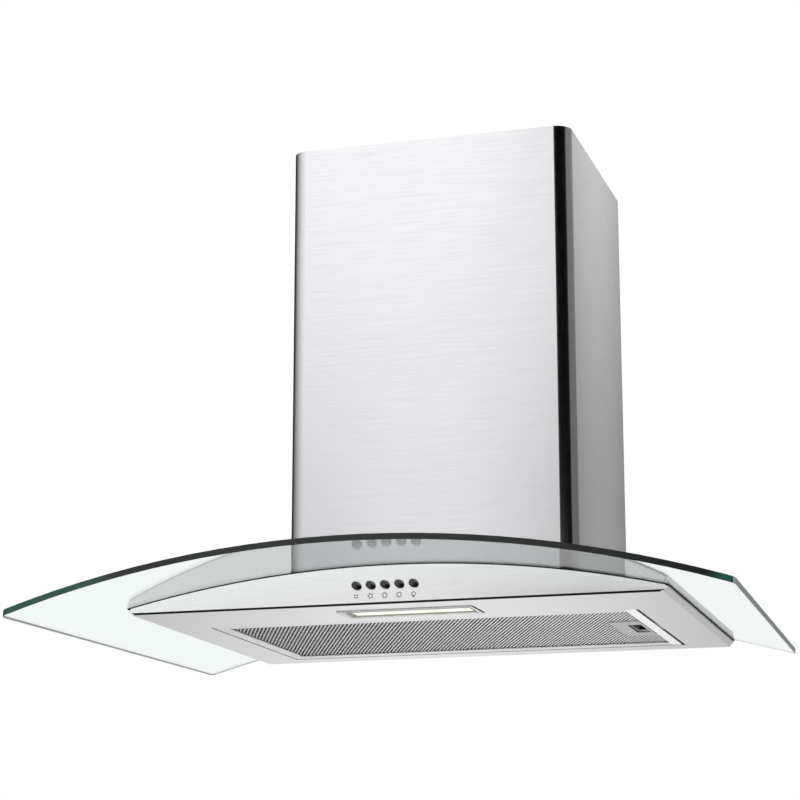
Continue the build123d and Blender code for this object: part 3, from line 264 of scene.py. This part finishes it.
def makeFloor(settings):
    bm = bmesh.new()
    bmesh.ops.create_grid(bm, x_segments=1, y_segments=1, size=settings["half"])
    bmesh.ops.translate(bm, verts=bm.verts, vec=settings["middle"])
    floor = toObject(bm, "studioFloor")
    material = bpy.data.materials.new("studioFloor")
    material.use_nodes = True
    tree = material.node_tree
    tree.nodes.clear()
    path = addNode(tree, "ShaderNodeLightPath").outputs
    seen = calc(tree, "MAXIMUM", path["Is Camera Ray"], path["Is Transmission Ray"])
    matt = addNode(tree, "ShaderNodeBsdfDiffuse", {"Color": colour(settings["colour"])})
    glow = addNode(tree, "ShaderNodeEmission", {"Color": grey(1.0)})
    share = product(tree, seen, settings["seenShare"])
    blend = addNode(tree, "ShaderNodeMixShader", {0: share, 1: matt.outputs[0], 2: glow.outputs[0]})
    addNode(tree, "ShaderNodeOutputMaterial", {"Surface": blend.outputs[0]})
    floor.data.materials.append(material)
    floor.visible_glossy = False


def toObject(bm, name):
    mesh = bpy.data.meshes.new(name)
    bm.to_mesh(mesh)
    bm.free()
    piece = bpy.data.objects.new(name, mesh)
    scene.collection.objects.link(piece)
    return piece


makeStudio(studioSettings)
for light in lightSettings["lights"]:
    makeLight(*light)
makeFloor(floorSettings)
print("studio set up")


# materials

def startMaterial(name, base, metallic=0.0):
    material = bpy.data.materials.new(name)
    material.use_nodes = True
    tree = material.node_tree
    tree.nodes.clear()
    shader = addNode(tree, "ShaderNodeBsdfPrincipled", {"Base Color": colour(base), "Metallic": metallic})
    addNode(tree, "ShaderNodeOutputMaterial", {"Surface": shader.outputs[0]})
    return material, tree, shader.inputs


# brushed metal: streaks along the sheet, with the painted shade and painted light that single pieces add below

brushedSettings = {
    "sideFacing": 0.6,  # a face whose normal leans further sideways than this is a side
    "flatFacing": 0.7,  # and one that leans further up or down lies flat
    "fineNoise": (3.0, 0.6),  # detail and roughness of the streaks
    "broadStreaks": (9.0, 260.0, 1.0),
    "broadShare": 0.35,
    "paintedShadeTone": 0.3,  # the grey that painted shade goes toward
}


# painted shade: the duct cover's sides are painted darker toward their front and rear
def paintSideShade(tree, inputs, surface, tone, look):
    away = calc(tree, "SUBTRACT", surface["y"], look["sideMiddle"])
    dim = product(tree, away, away, look["sideShade"], surface["onSide"])
    return pickColour(tree, dim, tone, grey(brushedSettings["paintedShadeTone"]))


# painted light: the rear inner wall of the lens frame is painted dark and made to glow, as if lit by the lens; the
# frame's front is painted duller as painted shade
def paintWallLight(tree, inputs, surface, tone, look):
    towardCook = calc(tree, "LESS_THAN", surface["facingY"], look["wallFacing"])
    wall = product(tree, towardCook, calc(tree, "GREATER_THAN", surface["z"], look["wallStart"]))
    inputs["Emission Color"].default_value = colour(look["wallColour"])
    feed(tree, inputs["Emission Strength"], product(tree, wall, look["wallPaintedGlow"]))
    tone = pickColour(tree, wall, tone, grey(look["wallPaintedTone"]))
    front = calc(tree, "LESS_THAN", surface["y"], look["frontStart"])
    return pickColour(tree, front, tone, grey(look["frontShadeTone"]))


# painted shade: upright sheet faces low on the pan, inside its side walls, are painted near black as shadow gaps
def paintCutShade(tree, inputs, surface, tone, look):
    upright = calc(tree, "LESS_THAN", calc(tree, "ABSOLUTE", surface["facingZ"]), look["cutFacing"])
    inside = calc(tree, "LESS_THAN", calc(tree, "ABSOLUTE", surface["x"]), look["cutHalf"])
    low = calc(tree, "LESS_THAN", surface["z"], look["cutHeight"])
    return pickColour(tree, product(tree, upright, inside, low), tone, grey(look["cutShadeTone"]))


# painted highlight: the strip below the filter's right rail is made to glow white, standing in for a bright
# reflection
def paintRailHighlight(tree, inputs, surface, tone, look):
    onRail = calc(tree, "GREATER_THAN", surface["x"], look["railStart"])
    under = calc(tree, "LESS_THAN", surface["facingZ"], look["railFacing"])
    inputs["Emission Color"].default_value = grey(1.0)
    feed(tree, inputs["Emission Strength"], product(tree, onRail, under, look["railHighlight"]))
    return tone


# painted shade: the duct cover's front is painted darker toward its lower corners
def paintCornerShade(tree, inputs, surface, tone, look):
    low = span(tree, surface["z"], 1.0, 0.0, *look["cornerHeights"])
    outer = span(tree, calc(tree, "ABSOLUTE", surface["x"]), look["cornerLeast"], 1.0, *look["cornerHalves"])
    onFront = calc(tree, "SUBTRACT", 1.0, surface["onSide"])
    dim = product(tree, low, onFront, outer, look["cornerShade"])
    return pickColour(tree, dim, tone, grey(brushedSettings["paintedShadeTone"]))


# painted shade: the fascia is painted darker toward its right end
def paintEndShade(tree, inputs, surface, tone, look):
    dim = product(tree, span(tree, surface["x"], 0.0, 1.0, *look["endSpan"]), look["endShade"])
    return pickColour(tree, dim, tone, grey(brushedSettings["paintedShadeTone"]))


# painted shade and painted light that single pieces add to brushed metal
paintedLightAndShade = {
    "sideShade": paintSideShade,
    "wallPaintedGlow": paintWallLight,
    "cutShadeTone": paintCutShade,
    "railHighlight": paintRailHighlight,
    "cornerShade": paintCornerShade,
    "endShade": paintEndShade,
}


def makeBrushed(name, look):
    settings = brushedSettings
    material, tree, inputs = startMaterial(name, look["base"], look["metallic"])
    coords = addNode(tree, "ShaderNodeTexCoord").outputs
    x, y, z = split(tree, coords["Object"])
    facingX, facingY, facingZ = split(tree, coords["Normal"])
    onSide = calc(tree, "GREATER_THAN", calc(tree, "ABSOLUTE", facingX), settings["sideFacing"])
    onFlat = calc(tree, "GREATER_THAN", calc(tree, "ABSOLUTE", facingZ), settings["flatFacing"])
    along = pick(tree, onSide, x, y)
    across = pick(tree, onFlat, z, y)
    place = addNode(tree, "ShaderNodeCombineXYZ", {0: along, 1: across}).outputs[0]
    fine = noise(tree, stretch(tree, place, (*look["streaks"], 1.0)), 1.0, *settings["fineNoise"])
    broad = noise(tree, stretch(tree, place, settings["broadStreaks"]), 1.0)
    fineShare = product(tree, fine, 1 - settings["broadShare"])
    streak = calc(tree, "MULTIPLY_ADD", broad, settings["broadShare"], fineShare)
    dark = colour(look["base"], look["dullest"])
    tone = pickColour(tree, span(tree, streak, 0.0, 1.0), dark, colour(look["base"]))
    surface = {"x": x, "y": y, "z": z, "facingY": facingY, "facingZ": facingZ, "onSide": onSide}
    for key, shade in paintedLightAndShade.items():
        if key in look:
            tone = shade(tree, inputs, surface, tone, look)
    feed(tree, inputs["Base Color"], tone)
    feed(tree, inputs["Roughness"], span(tree, fine, look["roughness"][1], look["roughness"][0]))
    feed(tree, inputs["Normal"], bump(tree, fine, look["bump"]))
    # the grain runs along the sheet: sideways on a front, into the wall on a side
    inputs["Anisotropic"].default_value = look["anisotropy"]
    grain = addNode(tree, "ShaderNodeCombineXYZ", {0: calc(tree, "SUBTRACT", 1.0, onSide), 1: onSide})
    normal = addNode(tree, "ShaderNodeNewGeometry").outputs["Normal"]
    tangent = vectorCalc(tree, "CROSS_PRODUCT", normal, grain.outputs[0])
    feed(tree, inputs["Tangent"], vectorCalc(tree, "NORMALIZE", tangent))
    return material


steelLook = {
    "metallic": 1.0,
    "dullest": 0.93,  # share of the base colour in the darkest streaks
    "anisotropy": 1.0,
    "streaks": (26.0, 950.0),  # per metre along the grain and across it
    "bump": 0.000004,
}
chimneySteelLook = dict(
    steelLook,
    base=(0.884, 0.875, 0.901),
    roughness=(0.18, 0.23),
    sideMiddle=-0.11,
    sideShade=40.0,  # how fast painted shade darkens the sides away from there
    # painted shade toward the front's lower corners
    cornerShade=0.28,
    cornerHeights=(0.03, 0.30),  # full below the first and gone above the second
    cornerHalves=(0.03, 0.12),  # least at the first from the middle and full at the second
    cornerLeast=0.2,
)
bodySteelLook = dict(
    steelLook,
    base=(0.960, 0.951, 0.977),
    roughness=(0.10, 0.13),
    cutHalf=0.226,  # how far from the middle and how high the cut edges lie
    cutHeight=0.0012,
    cutFacing=0.5,
    # painted shade: near-black tone of the pan's low upright edges
    cutShadeTone=0.02,
)
fasciaSteelLook = dict(
    bodySteelLook,
    base=(0.962, 0.940, 0.952),
    # painted shade toward the fascia's right end
    endShade=0.25,
    endSpan=(0.0, 0.22),  # where it starts and is full
)
aluminiumLook = {
    "metallic": 0.75,
    "base": (0.97, 0.97, 0.97),
    "dullest": 0.93,
    "roughness": (0.20, 0.32),
    "anisotropy": 0.6,
    "streaks": (14.0, 700.0),
    "bump": 0.000004,
}
# the filter's rail glow is a painted highlight
filterLook = dict(aluminiumLook, railStart=0.1792, railFacing=-0.5, railHighlight=0.22)
latchLook = dict(aluminiumLook, base=(0.58, 0.57, 0.59))
bezelLook = dict(
    aluminiumLook,
    wallStart=0.0004,  # height from which the wall is lit
    wallFacing=-0.6,
    # painted light on the rear inner wall, over a painted dark tone, and painted shade on the front
    wallPaintedGlow=0.22,
    wallColour=(1.0, 0.98, 0.80),
    wallPaintedTone=0.1,
    frontStart=-0.3130,  # what lies nearer the cook gets painted shade
    frontShadeTone=0.55,
)


# zinc-coated sheet of the pieces inside

galvanisedLook = {
    "base": (0.70, 0.72, 0.74),
    "dullest": 0.86,
    "roughness": (0.30, 0.46),
    "spangles": 75.0,  # crystals per metre
    "wander": 0.004,  # how far their borders stray
    "wanderScale": 120.0,
    "cloudScale": 14.0,
    "cloudShare": 0.4,
    "bump": 0.00002,
    "bumpStrength": 0.3,
}


def makeGalvanised(look):
    material, tree, inputs = startMaterial("galvanisedSteel", look["base"], 1.0)
    place = addNode(tree, "ShaderNodeTexCoord").outputs["Object"]
    wander = noise(tree, place, look["wanderScale"])
    bent = vectorCalc(tree, "MULTIPLY_ADD", wander, (look["wander"],) * 3, place)
    cells = addNode(tree, "ShaderNodeTexVoronoi", {"Vector": bent, "Scale": look["spangles"]})
    crystal, gloss, _ = split(tree, cells.outputs["Color"])
    cloud = product(tree, noise(tree, place, look["cloudScale"]), look["cloudShare"])
    shade = calc(tree, "MULTIPLY_ADD", crystal, 1 - look["cloudShare"], cloud)
    dark = colour(look["base"], look["dullest"])
    feed(tree, inputs["Base Color"], pickColour(tree, shade, dark, colour(look["base"])))
    feed(tree, inputs["Roughness"], span(tree, gloss, *look["roughness"], 0.0, 1.0))
    feed(tree, inputs["Normal"], bump(tree, crystal, look["bump"], look["bumpStrength"]))
    return material


# clear glass with ground sides and a polished front edge made opaque and painted dark as painted shade, green at
# its tips

glassLook = {
    "base": (1.0, 1.0, 1.0),
    "refraction": 1.5,
    "absorption": (0.0, 0.58, 0.42),
    "density": 15.0,
    "sideFacing": 0.75,  # a normal that leans further sideways is on a side edge
    "frontFacing": -0.72,
    "groundEdge": 0.28,  # roughness of the side edges
    "unevenness": 0.2,
    "grindScale": 1500.0,
    "polishedEdge": 0.2,  # and of the front edge
    "edge": (0.006, 0.008, 0.007),  # painted shade: the front edge, painted near black where it's seen end on
    "paintedEdgeGreen": (0.008, 0.048, 0.036),
    "leftTip": (-0.225, -0.195),  # from and to where the edge turns from green to grey
    "rightTip": (0.280, 0.291),
    "frosting": 0.9,
    "frost": (0.22, 0.26, 0.25),
}


def makeGlass(look):
    material, tree, inputs = startMaterial("clearGlass", look["base"])
    inputs["IOR"].default_value = look["refraction"]
    coords = addNode(tree, "ShaderNodeTexCoord").outputs
    x = split(tree, coords["Object"])[0]
    facingX, facingY, _ = split(tree, coords["Normal"])
    sideEdge = calc(tree, "GREATER_THAN", calc(tree, "ABSOLUTE", facingX), look["sideFacing"])
    frontEdge = calc(tree, "LESS_THAN", facingY, look["frontFacing"])
    smooth = look["groundEdge"] * (1 - look["unevenness"])
    coarse = look["groundEdge"] * (1 + look["unevenness"])
    grind = span(tree, noise(tree, coords["Object"], look["grindScale"]), smooth, coarse)
    ground = product(tree, sideEdge, grind)
    feed(tree, inputs["Roughness"], calc(tree, "MULTIPLY_ADD", frontEdge, look["polishedEdge"], ground))
    clear = calc(tree, "MULTIPLY_ADD", sideEdge, -look["frosting"], 1.0)
    # painted shade: the front edge lets no light through and is painted near black, green toward its tips, for the
    # darkness a glass edge shows end on
    feed(tree, inputs["Transmission Weight"], pick(tree, frontEdge, clear, 0.0))
    leftTip = span(tree, x, 1.0, 0.0, *look["leftTip"])
    rightTip = span(tree, x, 0.0, 1.0, *look["rightTip"])
    tip = calc(tree, "MAXIMUM", leftTip, rightTip)
    paintedEdgeShade = pickColour(tree, tip, colour(look["edge"]), colour(look["paintedEdgeGreen"]))
    tone = pickColour(tree, sideEdge, colour(look["base"]), colour(look["frost"]))
    feed(tree, inputs["Base Color"], pickColour(tree, frontEdge, tone, paintedEdgeShade))
    volume = addNode(tree, "ShaderNodeVolumeAbsorption", {
        "Color": colour(look["absorption"]), "Density": look["density"],
    })
    output = [node for node in tree.nodes if node.type == "OUTPUT_MATERIAL"][0]
    tree.links.new(volume.outputs[0], output.inputs["Volume"])
    return material


# moulded, rubber and cast surfaces: one colour with a grain, a little shade and uneven gloss

grainSettings = {
    "noise": (3.0, 0.6),  # detail and roughness of the grain
    "cloudScale": 35.0,
    "cloudShare": 0.5,
    "bumpStrength": 0.5,
    "refraction": 1.5,
}
grainedLooks = {
    "blackRubber": {
        "base": (0.006, 0.006, 0.006), "dullest": 0.75, "roughness": (0.80, 0.92),
        "grain": 900.0, "bump": 0.00002,
    },
    "buttonBlack": {
        "base": (0.012, 0.012, 0.013), "dullest": 0.8, "roughness": (0.20, 0.28),
        "grain": 2500.0, "bump": 0.000002, "refraction": 1.7,
    },
    "greyPlastic": {
        "base": (0.40, 0.41, 0.42), "dullest": 0.88, "roughness": (0.40, 0.52),
        "grain": 1200.0, "bump": 0.00002,
    },
    "blackPlastic": {
        "base": (0.045, 0.045, 0.047), "dullest": 0.8, "roughness": (0.36, 0.48),
        "grain": 1400.0, "bump": 0.00002,
    },
    "capacitorPlastic": {
        "base": (0.72, 0.72, 0.70), "dullest": 0.92, "roughness": (0.32, 0.42),
        "grain": 1500.0, "bump": 0.00001,
    },
    "iconPrint": {
        "base": (0.09, 0.09, 0.095), "dullest": 0.85, "roughness": (0.45, 0.55),
        "grain": 3000.0, "bump": 0.000002,
    },
    "zincPlate": {
        "base": (0.74, 0.74, 0.71), "dullest": 0.86, "roughness": (0.20, 0.34),
        "grain": 500.0, "bump": 0.00001, "metallic": 1.0,
    },
    "motorSteel": {
        "base": (0.46, 0.47, 0.48), "dullest": 0.80, "roughness": (0.34, 0.50),
        "grain": 260.0, "bump": 0.00003, "metallic": 1.0,
    },
    # painted shade: the aluminium media is painted near black for the shade deep between its layers
    "shadedFilterMedia": {
        "base": (0.02, 0.02, 0.02), "dullest": 0.50, "roughness": (0.55, 0.70),
        "grain": 420.0, "bump": 0.0002,
    },
    "meshStrand": {
        "base": (0.97, 0.97, 0.97), "dullest": 0.95, "roughness": (0.12, 0.18),
        "grain": 500.0, "bump": 0.000002, "metallic": 0.6,
    },
}


def makeGrained(name, look):
    settings = grainSettings
    material, tree, inputs = startMaterial(name, look["base"], look.get("metallic", 0.0))
    inputs["IOR"].default_value = look.get("refraction", settings["refraction"])
    place = addNode(tree, "ShaderNodeTexCoord").outputs["Object"]
    grain = noise(tree, place, look["grain"], *settings["noise"])
    cloud = noise(tree, place, settings["cloudScale"])
    cloudShare = product(tree, cloud, settings["cloudShare"])
    shade = span(tree, calc(tree, "MULTIPLY_ADD", grain, 1 - settings["cloudShare"], cloudShare), 0.0, 1.0)
    dark = colour(look["base"], look["dullest"])
    feed(tree, inputs["Base Color"], pickColour(tree, shade, dark, colour(look["base"])))
    feed(tree, inputs["Roughness"], span(tree, cloud, *look["roughness"]))
    feed(tree, inputs["Normal"], bump(tree, grain, look["bump"], settings["bumpStrength"]))
    return material


# the lamp's frosted lens, lit by three diodes behind it

lensLook = {
    "base": (0.24, 0.24, 0.24),
    "between": (0.74, 0.74, 0.64),  # glow between the diodes
    "spot": (1.0, 0.99, 0.86),  # and over them
    "glow": 0.92,
    "middle": (0.0035, -0.2865),
    "lit": (0.0515, 0.0085),  # half the lit window
    "soften": 0.1,  # share of its depth over which it fades in and out
    "rim": 0.0516,  # from the middle to the band at the right end painted black as painted shade
    # painted shade: near-black tone of that band, for the shadow gap at the lamp's right end
    "print": 0.01,
    "pitch": 0.034,  # from diode to diode
    "reach": 0.017,
    "pebbles": 260.0,  # per metre
    "pebbleGlow": (1.0, 0.45, 0.1, 0.8),  # from and to, and the distances where it starts and ends
    "roughness": (0.25, 0.45, 0.0, 0.7),  # likewise
    "bump": 0.0001,
    "bumpStrength": 0.5,
}


def makeLens(look):
    material, tree, inputs = startMaterial("litLens", look["base"])
    place = addNode(tree, "ShaderNodeTexCoord").outputs["Object"]
    x, y, _ = split(tree, place)
    sideways = calc(tree, "SUBTRACT", x, look["middle"][0])
    forward = calc(tree, "SUBTRACT", y, look["middle"][1])
    litX = calc(tree, "LESS_THAN", calc(tree, "ABSOLUTE", sideways), look["lit"][0])
    start, end = (look["lit"][1] * (1 + soften) for soften in (-look["soften"], look["soften"]))
    litY = span(tree, calc(tree, "ABSOLUTE", forward), 1.0, 0.0, start, end)
    nearest = calc(tree, "ABSOLUTE", calc(tree, "WRAP", sideways, look["pitch"] / 2, -look["pitch"] / 2))
    spot = span(tree, nearest, 1.0, 0.0, 0.0, look["reach"])
    cells = addNode(tree, "ShaderNodeTexVoronoi", {"Vector": place, "Scale": look["pebbles"]})
    pebbles = cells.outputs["Distance"]
    patchy = product(tree, spot, span(tree, pebbles, *look["pebbleGlow"]))
    glow = pickColour(tree, patchy, colour(look["between"]), colour(look["spot"]))
    feed(tree, inputs["Emission Color"], pickColour(tree, product(tree, litX, litY), grey(0.0), glow))
    inputs["Emission Strength"].default_value = look["glow"]
    # painted shade: past the rim the lens is painted near black, for the shadow gap at its right end
    paintedRimShade = calc(tree, "GREATER_THAN", sideways, look["rim"])
    feed(tree, inputs["Base Color"], pickColour(tree, paintedRimShade, colour(look["base"]), grey(look["print"])))
    feed(tree, inputs["Roughness"], span(tree, pebbles, *look["roughness"]))
    feed(tree, inputs["Normal"], bump(tree, pebbles, look["bump"], look["bumpStrength"]))
    return material


boardLook = {
    "base": (0.80, 0.81, 0.79),
    "dullest": 0.9,
    "diode": (0.93, 0.75, 0.22),
    "diodeTop": 0.01159,  # the board's underside, below which only the diodes reach
    "cloudScale": 300.0,
    "roughness": (0.3, 0.45),
}


def makeBoard(look):
    material, tree, inputs = startMaterial("diodeBoard", look["base"])
    place = addNode(tree, "ShaderNodeTexCoord").outputs["Object"]
    onDiode = calc(tree, "LESS_THAN", split(tree, place)[2], look["diodeTop"])
    cloud = noise(tree, place, look["cloudScale"])
    board = pickColour(tree, cloud, colour(look["base"], look["dullest"]), colour(look["base"]))
    feed(tree, inputs["Base Color"], pickColour(tree, onDiode, board, colour(look["diode"])))
    feed(tree, inputs["Roughness"], span(tree, cloud, *look["roughness"]))
    return material


finishes = {
    "chimneySteel": makeBrushed("chimneySteel", chimneySteelLook),
    "bodySteel": makeBrushed("bodySteel", bodySteelLook),
    "fasciaSteel": makeBrushed("fasciaSteel", fasciaSteelLook),
    "filterAluminium": makeBrushed("filterAluminium", filterLook),
    "latchAluminium": makeBrushed("latchAluminium", latchLook),
    "bezelAluminium": makeBrushed("bezelAluminium", bezelLook),
    "galvanisedSteel": makeGalvanised(galvanisedLook),
    "clearGlass": makeGlass(glassLook),
    "litLens": makeLens(lensLook),
    "diodeBoard": makeBoard(boardLook),
}
for finishName, look in grainedLooks.items():
    finishes[finishName] = makeGrained(finishName, look)
nodeFinishes = {
    "chimneySteel": ["lower_chimney", "upper_chimney"],
    "bodySteel": ["body_pan"],
    "fasciaSteel": ["front_fascia"],
    "galvanisedSteel": ["top_plate", "motor_box", "box_lid", "upper_bracket", "chimney_clips", "motor_spider",
                        "lamp_tray"],
    "clearGlass": ["glass_canopy"],
    "blackRubber": ["glass_gasket", "fascia_seal", "glass_washers", "motor_bushes", "cable_grommet"],
    "buttonBlack": ["push_button_1", "push_button_2", "push_button_3", "push_button_4", "push_button_5"],
    "greyPlastic": ["casing_front", "casing_rear", "impeller"],
    "blackPlastic": ["outlet_spigot", "flap_left", "flap_right", "junction_box", "junction_lid", "switch_housing"],
    "capacitorPlastic": ["capacitor"],
    "zincPlate": ["glass_screws", "glass_nuts", "box_screws", "lid_screws", "casing_screws", "spider_screws",
                  "outlet_screws", "clip_screws", "bracket_screws", "motor_shaft", "impeller_nut", "flap_pin"],
    "motorSteel": ["motor"],
    "filterAluminium": ["filter_frame"],
    "bezelAluminium": ["lamp_bezel"],
    "latchAluminium": ["latch_plate", "latch_slide"],
    "meshStrand": ["filter_mesh", "filter_back_mesh"],
    "shadedFilterMedia": ["filter_media"],
    "litLens": ["lamp_lens"],
    "diodeBoard": ["led_board"],
}
for finishName, nodeNames in nodeFinishes.items():
    for nodeName in nodeNames:
        for materialSlot in nodes[nodeName].material_slots:
            materialSlot.material = finishes[finishName]
print("materials on", sum(len(names) for names in nodeFinishes.values()), "nodes")


# expanded metal of the filter: zigzag strands, joined where they come together

meshPattern = {
    "longWay": 0.0082,  # from opening to opening, front to back
    "shortWay": 0.0036,  # and sideways
    "strand": 0.00130,  # width of a strand
    "thick": 0.00012,
    "lean": math.radians(12),  # of each strand out of the sheet
    "bond": 0.00040,  # between the middles of two strands where they join
    "height": 0.00145,
    "areas": [  # left, right, front and back of each: all but the latch's pocket
        (-0.1875, 0.1492, -0.2550, -0.0281),
        (0.1492, 0.1865, -0.2550, -0.1850),
        (0.1492, 0.1865, -0.0980, -0.0281),
    ],
}


def addStrands(bm, pattern, area):
    left, right, front, back = area
    half = pattern["longWay"] / 2
    pitch = pattern["shortWay"] / 2
    swing = pitch - pattern["bond"]  # sideways, from one join to the next
    firstRow = math.floor(front / half)
    rows = math.ceil(back / half) - firstRow
    columns = range(round(left / pitch), round(right / pitch))
    lean = Matrix.Rotation(pattern["lean"], 3, "Y")
    corners = [(-0.5, -0.5), (0.5, -0.5), (0.5, 0.5), (-0.5, 0.5)]
    made = []
    # one zigzag for every other column and its mirror image for the rest, copied across
    for parity in (0, 1):
        own = [column for column in columns if (column + firstRow) % 2 == parity]
        side = 1 if parity == 0 else -1
        start = Vector((pitch / 2 - side * swing / 2, firstRow * half, pattern["height"]))
        verts = []
        for across, up in corners:
            corner = lean @ Vector((across * pattern["strand"], 0, up * pattern["thick"]))
            verts.append(bm.verts.new(corner + start))
        face = bm.faces.new(verts)
        strand = set(verts)
        for row in range(rows):
            grown = bmesh.ops.extrude_face_region(bm, geom=[face])["geom"]
            face = [item for item in grown if isinstance(item, bmesh.types.BMFace)][0]
            step = side * swing * (1 if row % 2 == 0 else -1)
            bmesh.ops.translate(bm, verts=face.verts, vec=(step, half, 0))
            strand.update(face.verts)
        faces = {item for vert in strand for item in vert.link_faces}
        edges = {item for vert in strand for item in vert.link_edges}
        source = list(strand) + list(edges) + list(faces)
        bmesh.ops.translate(bm, verts=list(strand), vec=(own[0] * pitch, 0, 0))
        made.extend(source)
        for column in own[1:]:
            copy = bmesh.ops.duplicate(bm, geom=source)["geom"]
            copyVerts = [item for item in copy if isinstance(item, bmesh.types.BMVert)]
            bmesh.ops.translate(bm, verts=copyVerts, vec=((column - own[0]) * pitch, 0, 0))
            made.extend(copy)
    # cut to the area, with the cut ends closed
    for edge, outward in ((front, -1), (back, 1)):
        cut = bmesh.ops.bisect_plane(
            bm, geom=made, plane_co=(0, edge, 0), plane_no=(0, outward, 0), clear_outer=True
        )
        made = [item for item in cut["geom"] if item.is_valid]
        ends = [item for item in cut["geom_cut"] if isinstance(item, bmesh.types.BMEdge) and item.is_boundary]
        filled = bmesh.ops.holes_fill(bm, edges=ends, sides=4)["faces"]
        made = list(set(made) | set(filled))


def makeMesh(pattern):
    bm = bmesh.new()
    for area in pattern["areas"]:
        addStrands(bm, pattern, area)
    bmesh.ops.recalc_face_normals(bm, faces=bm.faces)
    piece = toObject(bm, "filterMesh")
    piece.data.materials.append(finishes["meshStrand"])
    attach(piece, "filter")
    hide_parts("filter_mesh")
    print("filterMesh has", len(piece.data.polygons), "faces")


makeMesh(meshPattern)


# pictograms printed below the buttons: fans of growing speed and a bulb

iconSettings = {
    "face": -0.3460,  # the fascia's front
    "proud": 0.00003,
    "middle": (-0.0034, 0.0074),
    "pitch": 0.01235,
    "fans": [  # blades, ring radius, blade length and width
        (4, 0.00140, 0.0015, 0.0014),
        (5, 0.00175, 0.0016, 0.0015),
        (7, 0.00195, 0.0014, 0.0013),
        (9, 0.00195, 0.0014, 0.0010),
    ],
    "bulb": (0.0013, 0.0020),  # inner and outer radius
    "socket": (0.0012, 0.0008),  # width and height
    "bladeSides": 8,
    "bulbSides": 20,
}


def addBlade(bm, middle, angle, radius, length, width):
    sides = iconSettings["bladeSides"]
    blade = bmesh.ops.create_circle(bm, cap_ends=True, segments=sides, radius=0.5)["verts"]
    bmesh.ops.scale(bm, verts=blade, vec=(length, width, 1))
    bmesh.ops.translate(bm, verts=blade, vec=(radius, 0, 0))
    bmesh.ops.rotate(bm, verts=blade, cent=(0, 0, 0), matrix=Matrix.Rotation(angle, 3, "Z"))
    bmesh.ops.translate(bm, verts=blade, vec=middle)


def addBulb(bm, middle, radii, socket):
    sides = iconSettings["bulbSides"]
    rings = []
    for radius in radii:
        ring = bmesh.ops.create_circle(bm, cap_ends=False, segments=sides, radius=radius)["verts"]
        bmesh.ops.translate(bm, verts=ring, vec=middle)
        rings.extend(set(edge for vert in ring for edge in vert.link_edges))
    bmesh.ops.bridge_loops(bm, edges=rings)
    foot = bmesh.ops.create_grid(bm, x_segments=1, y_segments=1, size=0.5)["verts"]
    bmesh.ops.scale(bm, verts=foot, vec=(socket[0], socket[1], 1))
    drop = radii[1] + socket[1] / 3  # its top edge reaches into the ring
    bmesh.ops.translate(bm, verts=foot, vec=middle - Vector((0, drop, 0)))


def makeIcons(settings):
    bm = bmesh.new()
    left, height = settings["middle"]
    count = len(settings["fans"]) + 1
    for number in range(count):
        middle = Vector((left + (number - (count - 1) / 2) * settings["pitch"], height, 0))
        if number < len(settings["fans"]):
            blades, radius, length, width = settings["fans"][number]
            for blade in range(blades):
                addBlade(bm, middle, (blade + 0.5) * math.tau / blades, radius, length, width)
        else:
            addBulb(bm, middle, settings["bulb"], settings["socket"])
    grown = bmesh.ops.extrude_face_region(bm, geom=bm.faces[:])["geom"]
    fronts = [item for item in grown if isinstance(item, bmesh.types.BMVert)]
    bmesh.ops.translate(bm, verts=fronts, vec=(0, 0, settings["proud"]))
    bmesh.ops.rotate(bm, verts=bm.verts, cent=(0, 0, 0), matrix=Matrix.Rotation(math.pi / 2, 3, "X"))
    bmesh.ops.translate(bm, verts=bm.verts, vec=(0, settings["face"], 0))
    bmesh.ops.recalc_face_normals(bm, faces=bm.faces)
    piece = toObject(bm, "buttonIcons")
    piece.data.materials.append(finishes["iconPrint"])
    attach(piece, "hood")
    print("buttonIcons has", len(piece.data.polygons), "faces")


makeIcons(iconSettings)
